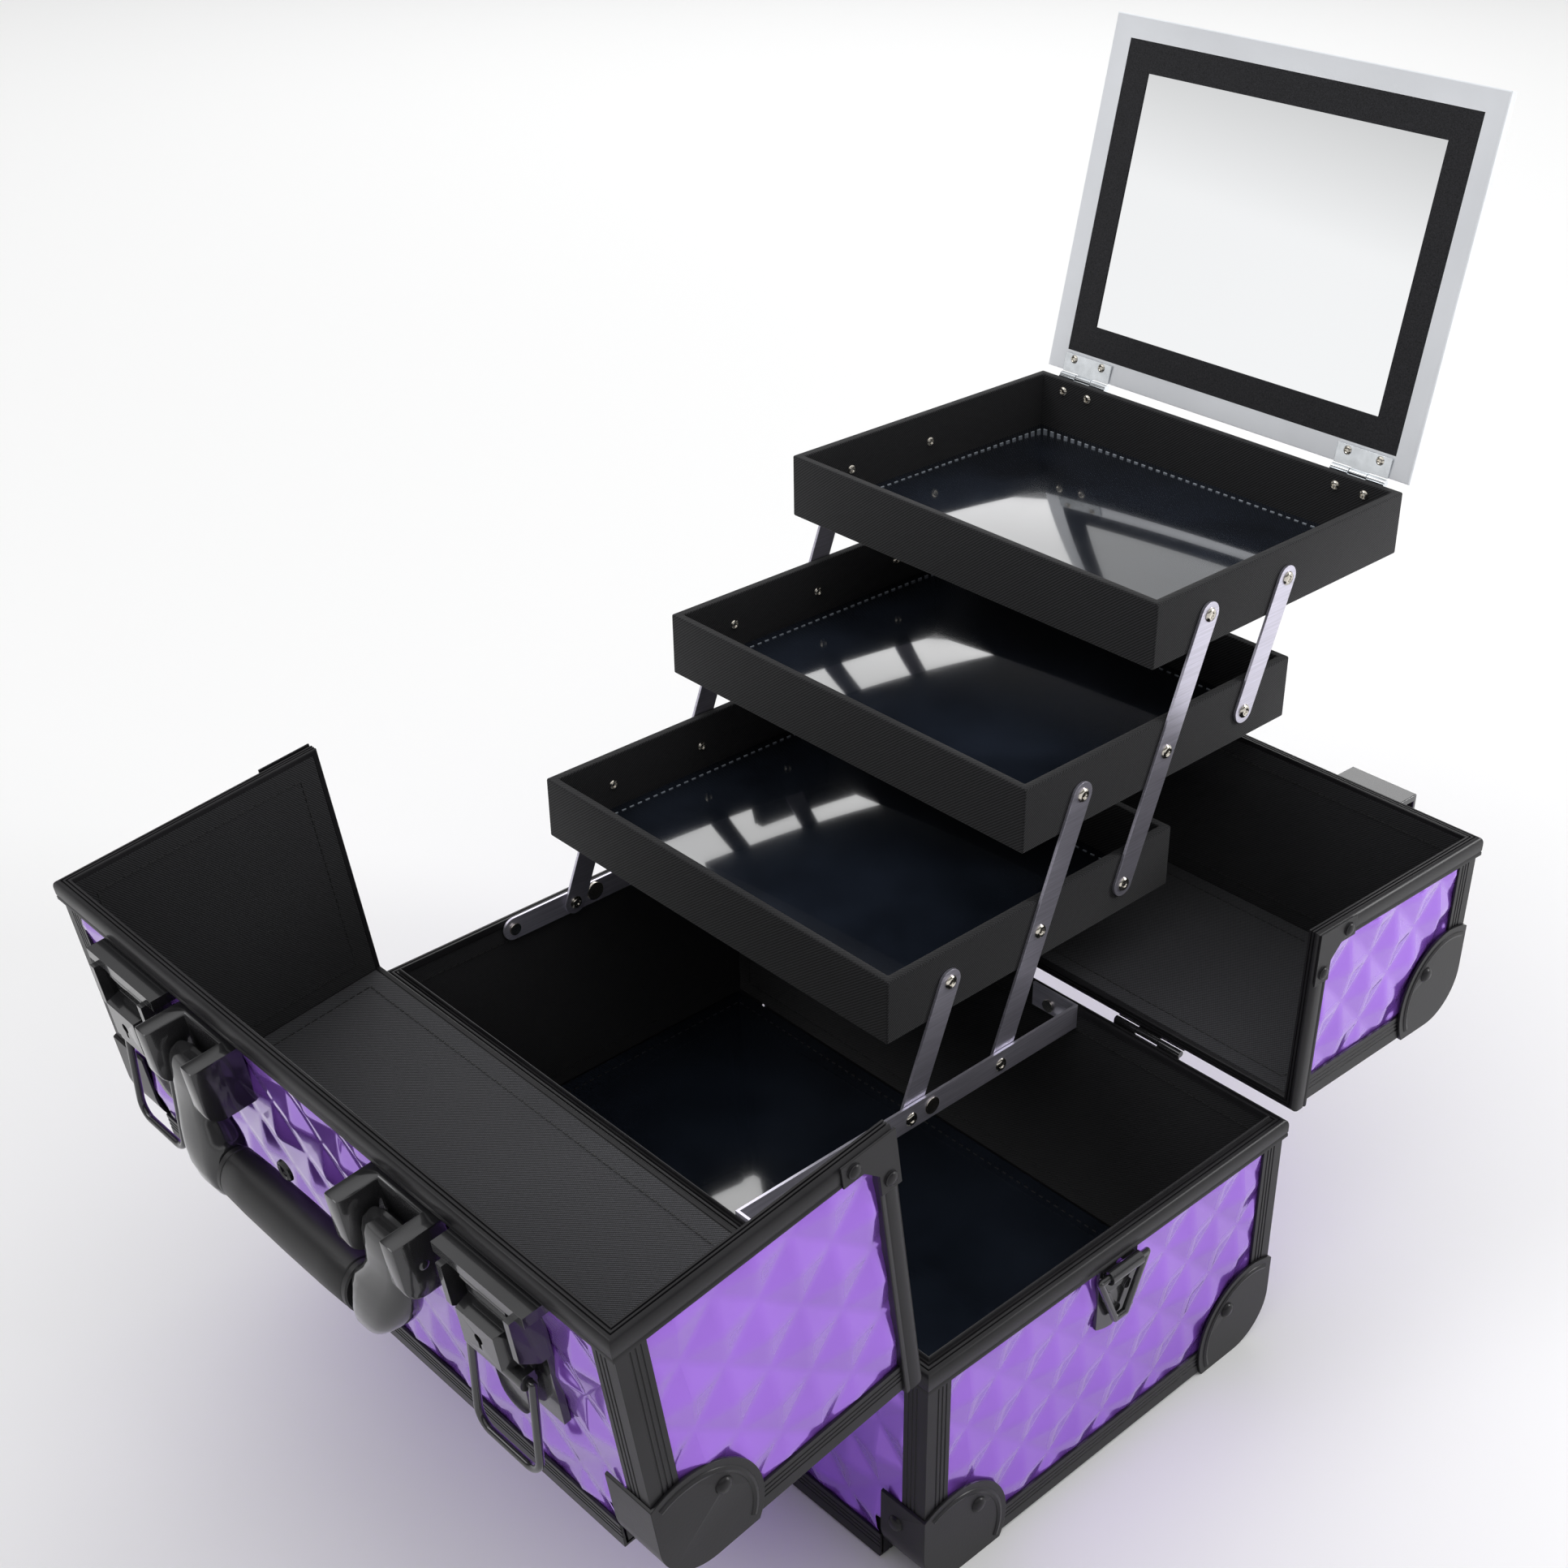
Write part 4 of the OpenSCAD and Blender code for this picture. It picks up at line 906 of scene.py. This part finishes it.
class TRAINCASE_OT_trays(bpy.types.Operator):
    """Make the three cloth-wrapped trays with their film floors"""
    bl_idname = "traincase.trays"
    bl_label = "Trays"

    def execute(self, context):
        wall, floor = tray_wall(), 2.4 * MM
        for number in (1, 2, 3):
            name = f"tray_{number}"
            low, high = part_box(name)
            piece_of(tray_shell(low, high, wall, floor), name + "_wrapped_box", name,
                     "tray_cloth", [name])
            gap = wall + 0.4 * MM
            sheet_low = Vector((low.x + gap, low.y + gap, low.z + floor - 0.3 * MM))
            sheet_high = Vector((high.x - gap, high.y - gap, low.z + floor + 0.9 * MM))
            piece_of(film_sheet(sheet_low, sheet_high), name + "_film", name, "film")
            piece_of(film_stitches(sheet_low, sheet_high, sizes().stitch_inset), name + "_stitches",
                     name, "pale_thread")
        return {"FINISHED"}


# ---------- arms and rivets ----------

def eyelet(radius, height):
    """Head of a tubular rivet: a rolled collar round a dished centre."""
    outline = [(0, height * 0.25), (radius * 0.34, height * 0.3), (radius * 0.45, height * 0.9),
               (radius * 0.62, height * 1.1), (radius * 0.85, height * 0.8), (radius, height * 0.1),
               (radius, -0.2 * MM), (0, -0.2 * MM)]
    return turned([(r, h) for r, h in outline], 14)


def outward(x, point, sign):
    """Placing of a rivet head that looks along X with a sign."""
    return facing(Vector((x, point.y, point.z)), Y * sign, Z)


class TRAINCASE_OT_arms(bpy.types.Operator):
    """Make the tray arms, their supports and rivets"""
    bl_idname = "traincase.arms"
    bl_label = "Arms and Rivets"

    def execute(self, context):
        for number in (1, 2, 3, 4):
            dressed(f"arm_{number}", 0.3 * MM, "arm_metal")
        dressed("tray_bracket", 0.3 * MM)
        dressed("tray_bar", 0.3 * MM)
        dressed("stop_bolts", 0.3 * MM)
        dressed("fixing_screws", 0.2 * MM)
        tray_low, tray_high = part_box("tray_1")
        near, far = tray_high.x, tray_low.x
        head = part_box("tray_1_rivets")[1].x - 0.6 * MM
        reach = head - near
        back = Vector((0, PITCH, 0))
        rows = {"tray_1": (pivot("tray_1_level"), 3), "tray_2": (pivot("tray_2_level"), 3),
                "tray_3": (pivot("tray_3_level"), 2)}
        for name, (first, count) in rows.items():
            bm = bmesh.new()
            for k in range(count):
                point = first + back * k
                join(bm, eyelet(3.2 * MM, 0.8 * MM), outward(near + reach, point, 1))
                join(bm, eyelet(3.2 * MM, 0.8 * MM), outward(far - reach, point, -1))
                join(bm, eyelet(2.4 * MM, 0.8 * MM), outward(near - tray_wall(), point, -1))
                join(bm, eyelet(2.4 * MM, 0.8 * MM), outward(far + tray_wall(), point, 1))
            if name == "tray_3":
                self.add_hinge_rivets(bm)
            piece_of(bm, name + "_eyelets", name, "nickel", [name + "_rivets"])
        bm = bmesh.new()
        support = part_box("base_rivets")[1].x - 0.6 * MM - near
        for point in (pivot("tray_fold"), pivot("arms_2_pivot")):
            join(bm, eyelet(3.2 * MM, 0.8 * MM), outward(near + support, point, 1))
            join(bm, eyelet(3.2 * MM, 0.8 * MM), outward(far - support, point, -1))
            join(bm, eyelet(3.2 * MM, 0.8 * MM), outward(near, point, -1))
            join(bm, eyelet(3.2 * MM, 0.8 * MM), outward(far, point, 1))
        piece_of(bm, "support_eyelets", "base", "nickel", ["base_rivets"])
        return {"FINISHED"}

    def add_hinge_rivets(self, bm):
        low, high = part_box("tray_3")
        middle = (low.x + high.x) / 2
        inside = high.y - tray_wall()
        drop = pivot("mirror_hinge").z - 6 * MM
        for x in hinge_places():
            for side in (-8 * MM, 8 * MM):
                join(bm, eyelet(2.5 * MM, 0.9 * MM),
                     facing(Vector((middle + x + side, inside, drop)), X, Z))
                join(bm, eyelet(2.5 * MM, 0.6 * MM),
                     facing(Vector((middle + x + side, high.y + 0.8 * MM, drop)), -X, Z))


def hinge_places():
    """Distances of the mirror hinges from the middle of the tray."""
    return (-84 * MM, 84 * MM)


# ---------- mirror ----------

class TRAINCASE_OT_mirror(bpy.types.Operator):
    """Make the mirror lid: mitred frame, mat, glass and hinges"""
    bl_idname = "traincase.mirror"
    bl_label = "Mirror Lid"

    def execute(self, context):
        low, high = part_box("tray_3")
        half_x, tray_w = (high.x - low.x) / 2, high.y - low.y
        face, near_edge, lift, thick = sizes().frame_face, 2.2 * MM, 0.9 * MM, 4.8 * MM
        half_y, mid_y = tray_w / 2, -near_edge - tray_w / 2
        # Face bevels down towards the mat; the back is a plain cover
        outline = [(0, 0.5 * MM), (-0.5 * MM, 0), (-1.4 * MM, 0), (-face + 0.8 * MM, 0.55 * MM),
                   (-face, 0.7 * MM), (-face, 1.5 * MM), (-face, thick - 1.2 * MM),
                   (-face - 1 * MM, thick - 1.2 * MM), (-face - 1 * MM, thick), (-0.5 * MM, thick),
                   (0, thick - 0.5 * MM)]
        place = MIRROR @ Matrix.Translation((0, mid_y, lift))
        frame_ring = mitred_ring(outline, half_x, half_y)
        bmesh.ops.transform(frame_ring, matrix=place, verts=frame_ring.verts)
        piece_of(frame_ring, "mirror_frame_extrusion", "mirror", "silver",
                 ["mirror_frame"], sharp=20)
        back = block((-half_x + face, -half_y + face, thick - 1.1 * MM),
                     (half_x - face, half_y - face, thick - 0.1 * MM))
        weave_map(back)
        bmesh.ops.transform(back, matrix=place, verts=back.verts)
        piece_of(back, "mirror_backing", "mirror", "tray_cloth")
        border = sizes().mat_width
        mat_outline = [(0.2 * MM, 0.9 * MM), (-border + 0.2 * MM, 0.9 * MM), (-border, 1.1 * MM),
                       (-border, 1.7 * MM), (0.2 * MM, 1.7 * MM)]
        mat = mitred_ring(mat_outline, half_x - face, half_y - face)
        bmesh.ops.transform(mat, matrix=place, verts=mat.verts)
        piece_of(mat, "mirror_mat", "mirror", "paper")
        glass = block((-half_x + face + 1 * MM, -half_y + face + 1 * MM, 1.5 * MM),
                      (half_x - face - 1 * MM, half_y - face - 1 * MM, thick - 1.3 * MM))
        bmesh.ops.transform(glass, matrix=place, verts=glass.verts)
        piece_of(glass, "mirror_plate", "mirror", "mirror", ["mirror_glass"])
        dressed("mirror_hinges", 0.15 * MM, "zinc")
        dressed("tray_3_hinges", 0.15 * MM, "zinc")
        screws = bmesh.new()
        for x in hinge_places():
            for side in (-9 * MM, 9 * MM):
                join(screws, eyelet(2.2 * MM, 0.7 * MM),
                     facing(Vector((x + side, -8.9 * MM, 0.1 * MM)), X, -Y))
        bmesh.ops.transform(screws, matrix=MIRROR, verts=screws.verts)
        piece_of(screws, "mirror_hinge_screws", "mirror", "nickel")
        return {"FINISHED"}


# ---------- handle, latches and rings ----------

def bracket(place):
    """C-shaped bracket: two thick ears over a base, with broad flat upper ends."""
    half, deep, tall, thick, web = EAR / 2, 13 * MM, 19 * MM, 8 * MM, 3 * MM
    bm = bmesh.new()
    inner = half - thick
    outline = [(-half, -RAIL_T), (half, -RAIL_T), (half, tall), (inner, tall), (inner, web),
               (-inner, web), (-inner, tall), (-half, tall)]
    face = bm.faces.new([bm.verts.new((x, deep, z)) for x, z in outline])
    grown = bmesh.ops.extrude_face_region(bm, geom=[face])
    drawn = [item for item in grown["geom"] if isinstance(item, bmesh.types.BMVert)]
    bmesh.ops.translate(bm, vec=(0, -2 * deep, 0), verts=drawn)
    bmesh.ops.recalc_face_normals(bm, faces=bm.faces)
    noses = [edge for edge in bm.edges if all(vert.co.y < -deep + 0.1 * MM and vert.co.z > tall / 2
                                              for vert in edge.verts)]
    soften(bm, thick * 0.95, 6, noses)
    soften(bm, 0.9 * MM, 2)
    join(bm, stud(1.9 * MM, 0.5 * MM), facing(Vector((half, 0, 10 * MM)), Y, Z))
    bmesh.ops.transform(bm, matrix=place, verts=bm.verts)
    return bm


# Sections of a handle's end piece, from its hub down: height, inner x, outer x and half depth
END_SECTIONS = [(5.4, -9.5, 9.5, 2.6), (3.4, -11, 11, 4.7), (0, -11.4, 11.4, 5.8), (-7, -11.2, 11.4, 5.8),
                (-12.5, -11, 11.4, 5.7), (-18, -13.5, 10.8, 6.2), (-23, -18.5, 9.8, 7.2),
                (-27, -20, 8.6, 8.1), (-32, -20, 6.4, 8.8), (-37, -20, 3, 9), (-42, -20, -2, 8),
                (-46, -19.8, -7.5, 5.8), (-48.4, -19, -11.5, 2.4)]


def end_piece(matrix):
    """Curved end of the handle, which widens from its hub to the grip."""
    bm = bmesh.new()
    loops = []
    for height, inner, outer, deep in END_SECTIONS:
        middle, half = (inner + outer) / 2, (outer - inner) / 2
        ring = []
        for k in range(28):
            turn = 2 * math.pi * k / 28
            across, depth = math.cos(turn), math.sin(turn)
            # A rounded box section: both axes keep their sign and fill out
            ring.append(bm.verts.new(((middle + math.copysign(abs(across) ** 0.6, across) * half) * MM,
                                      height * MM, math.copysign(abs(depth) ** 0.7, depth) * deep * MM)))
        loops.append([bm.edges.new((ring[k - 1], ring[k])) for k in range(28)])
    for upper, lower in zip(loops, loops[1:]):
        bmesh.ops.bridge_loops(bm, edges=upper + lower)
    bmesh.ops.holes_fill(bm, edges=[edge for edge in bm.edges if edge.is_boundary])
    bmesh.ops.recalc_face_normals(bm, faces=bm.faces)
    bmesh.ops.transform(bm, matrix=matrix, verts=bm.verts)
    return bm


def grip(reach):
    """Oval grip, thickest in the middle, with a collar at each end."""
    half = [(0, reach), (7.6 * MM, reach), (8.2 * MM, reach - 0.6 * MM), (8.2 * MM, reach - 2.6 * MM),
            (7.9 * MM, reach - 3 * MM), (8.3 * MM, reach - 3.6 * MM), (8.7 * MM, reach * 0.6)]
    outline = half + [(8.85 * MM, 0)] + [(r, -z) for r, z in reversed(half)]
    bm = turned(outline, 40)
    bmesh.ops.transform(bm, matrix=Matrix.Diagonal((1, 1.27, 1, 1)), verts=bm.verts)
    return bm


class TRAINCASE_OT_fittings(bpy.types.Operator):
    """Make the handle, the latches and the side rings"""
    bl_idname = "traincase.fittings"
    bl_label = "Handle, Latches and Rings"

    def execute(self, context):
        self.add_handle()
        for node in ("latch_plates", "lever_near", "lever_far", "latch_catches"):
            dressed(node, 0.6 * MM, segments=3)
        for side in ("near", "far"):
            boss = turned([(2.1 * MM, -0.3 * MM), (2.1 * MM, 0.9 * MM), (3.2 * MM, 1.3 * MM),
                           (4.1 * MM, 0.8 * MM), (4.3 * MM, -0.3 * MM), (2.1 * MM, -0.3 * MM)], 24)
            hinge = pivot(f"lever_{side}_hinge")
            lid_turn = Matrix.Rotation(FRONT_OPEN, 4, "X")
            bmesh.ops.transform(boss, matrix=Matrix.Translation(hinge) @ lid_turn
                                @ Matrix.Translation((0, -15.5 * MM, 8 * MM)), verts=boss.verts)
            piece_of(boss, f"lock_boss_{side}", f"lever_{side}", "gloss")
        for node in ("bail_near", "bail_far", "ring_near", "ring_far"):
            dressed(node, 0.2 * MM)
        dressed("ring_plates", 0.35 * MM)
        return {"FINISHED"}

    def add_handle(self):
        swing = pivot("handle_swing")
        hung = facing(swing, X, Z)
        grip_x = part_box("handle_brackets")[1].x - EAR / 2 - 0.4 * MM
        lid_place = FRONT.inverted() @ swing
        brackets, ends = bmesh.new(), bmesh.new()
        for sign in (-1, 1):
            spot = Matrix.Translation((sign * grip_x, lid_place.y, LID_H))
            join(brackets, bracket(FRONT @ spot @ Matrix.Diagonal((sign, 1, 1, 1))))
            join(ends, end_piece(hung @ Matrix.Translation((sign * grip_x, 0, 0))
                                 @ Matrix.Diagonal((sign, 1, 1, 1))))
        for bm in (brackets, ends):
            bmesh.ops.recalc_face_normals(bm, faces=bm.faces)
        piece_of(brackets, "handle_c_brackets", "front_lid", "gloss",
                 ["handle_brackets"])
        piece_of(ends, "handle_end_pieces", "handle", "gloss", ["handle_arms"])
        bm = grip(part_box("handle_grip")[1].x)
        drop = swing.z - (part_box("handle_grip")[0].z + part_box("handle_grip")[1].z) / 2
        bmesh.ops.transform(bm, matrix=hung @ Matrix.Translation((0, -drop, 0))
                            @ Matrix.Rotation(math.pi / 2, 4, "Y"), verts=bm.verts)
        piece_of(bm, "handle_moulded_grip", "handle", "grip", ["handle_grip"])


# ---------- boards ----------

class TRAINCASE_OT_boards(bpy.types.Operator):
    """Give the boards behind the linings the satin black trim finish"""
    bl_idname = "traincase.boards"
    bl_label = "Boards"

    def execute(self, context):
        for node, slot in SLOTS.items():
            if slot == "lined_board":
                for place in frame["nodes"][node].material_slots:
                    place.material = finish("trim")
        return {"FINISHED"}


# ---------- studio ----------

def studio_world():
    """A bright ceiling over walls that are light in some places and dark in others."""
    world = bpy.data.worlds.new("studio")
    world.use_nodes = True
    tree = world.node_tree
    place = tree.nodes.new("ShaderNodeTexCoord").outputs["Generated"]
    split = tree.nodes.new("ShaderNodeSeparateXYZ")
    tree.links.new(place, split.inputs["Vector"])
    ramp = tree.nodes.new("ShaderNodeValToRGB")
    ramp.color_ramp.elements[0].position = 0.0
    ramp.color_ramp.elements[0].color = (0.8, 0.8, 0.8, 1)
    for position, level in ((0.1, 0.8), (0.19, 0.42), (0.26, 0.14), (0.48, 0.12), (0.66, 0.7)):
        ramp.color_ramp.elements.new(position).color = (level, level, level, 1)
    ramp.color_ramp.elements[-1].color = (1, 1, 1, 1)
    tree.links.new(split.outputs["Z"], ramp.inputs["Fac"])
    patches = spread(tree, noise(tree, place, 1.6, 1), 0.7, 1.8)
    strength = combine(tree, "MULTIPLY", ramp.outputs["Color"], patches)
    background = tree.nodes["Background"]
    background.inputs["Color"].default_value = (1, 1, 1, 1)
    tree.links.new(strength, background.inputs["Strength"])
    return world


def soft_box(name, place, aim, size, power):
    """A square area light at a place, turned to its aim."""
    light = bpy.data.lights.new(name, "AREA")
    light.shape = "RECTANGLE"
    light.size, light.size_y = size
    light.energy = power
    lamp = bpy.data.objects.new(name, light)
    lamp.matrix_world = (Matrix.Translation(place)
                         @ (Vector(aim) - Vector(place)).to_track_quat("-Z", "Y").to_matrix().to_4x4())
    bpy.context.scene.collection.objects.link(lamp)


class TRAINCASE_OT_stage(bpy.types.Operator):
    """Set the pale floor, the soft lights and the camera"""
    bl_idname = "traincase.stage"
    bl_label = "Studio"

    def execute(self, context):
        scene = context.scene
        material, tree, shader = shader_of("pale_floor", (0.9, 0.9, 0.9), 0.75, specular=0.2)
        floor = bmesh.new()
        bmesh.ops.create_grid(floor, x_segments=1, y_segments=1, size=40)
        mesh = bpy.data.meshes.new("studio_floor")
        floor.to_mesh(mesh)
        floor.free()
        mesh.materials.append(material)
        ground = bpy.data.objects.new("studio_floor", mesh)
        scene.collection.objects.link(ground)
        scene.world = studio_world()
        scene.view_settings.view_transform = "Standard"
        middle = (0.0, 0.05, 0.2)
        soft_box("key", (-0.9, -1.5, 1.9), middle, (1.2, 0.9), 10)
        soft_box("side", (1.2, 1.5, 0.9), middle, (0.5, 0.5), 17)
        soft_box("rear", (-1.9, 2.0, 1.75), middle, (2.2, 1.3), 19)
        self.add_camera(scene)
        return {"FINISHED"}

    def add_camera(self, scene):
        place = Vector((0.5643, -0.5159, 0.6825))
        turn, lift, roll = math.radians(44.91), math.radians(30.61), math.radians(0.91)
        behind = Vector((math.sin(turn) * math.cos(lift), -math.cos(turn) * math.cos(lift), math.sin(lift)))
        right = Vector((math.cos(turn), math.sin(turn), 0))
        up = behind.cross(right)
        rows = (right * math.cos(roll) + up * math.sin(roll),
                up * math.cos(roll) - right * math.sin(roll), behind)
        lens = bpy.data.cameras.new("camera")
        lens.lens = 51.14
        lens.sensor_width = 36
        lens.shift_x, lens.shift_y = -0.0757, 0.0138
        camera = bpy.data.objects.new("camera", lens)
        camera.matrix_world = Matrix.Translation(place) @ Matrix(rows).transposed().to_4x4()
        scene.collection.objects.link(camera)
        scene.camera = camera


# ---------- add-on ----------

class TRAINCASE_PT_maker(bpy.types.Panel):
    """Lists the makers of the case in the 3D view's sidebar"""
    bl_idname = "TRAINCASE_PT_maker"
    bl_label = "Train Case"
    bl_space_type = "VIEW_3D"
    bl_region_type = "UI"
    bl_category = "Train Case"

    def draw(self, context):
        for operator in OPERATORS:
            self.layout.operator(operator.bl_idname)
        for group in (context.scene.train_case_sizes, context.scene.train_case_colours):
            for name in group.__annotations__:
                self.layout.prop(group, name)


OPERATORS = (TRAINCASE_OT_stage, TRAINCASE_OT_boards, TRAINCASE_OT_extrusions, TRAINCASE_OT_panels,
             TRAINCASE_OT_linings, TRAINCASE_OT_trays, TRAINCASE_OT_arms, TRAINCASE_OT_mirror,
             TRAINCASE_OT_fittings)
CLASSES = (TrainCaseSizes, TrainCaseColours, *OPERATORS, TRAINCASE_PT_maker)


def register():
    for item in CLASSES:
        bpy.utils.register_class(item)
    bpy.types.Scene.train_case_sizes = bpy.props.PointerProperty(type=TrainCaseSizes)
    bpy.types.Scene.train_case_colours = bpy.props.PointerProperty(type=TrainCaseColours)


def unregister():
    del bpy.types.Scene.train_case_colours
    del bpy.types.Scene.train_case_sizes
    for item in reversed(CLASSES):
        bpy.utils.unregister_class(item)


def main():
    register()
    for operator in OPERATORS:
        group, name = operator.bl_idname.split(".")
        getattr(getattr(bpy.ops, group), name)()


if __name__ == "__main__":
    main()
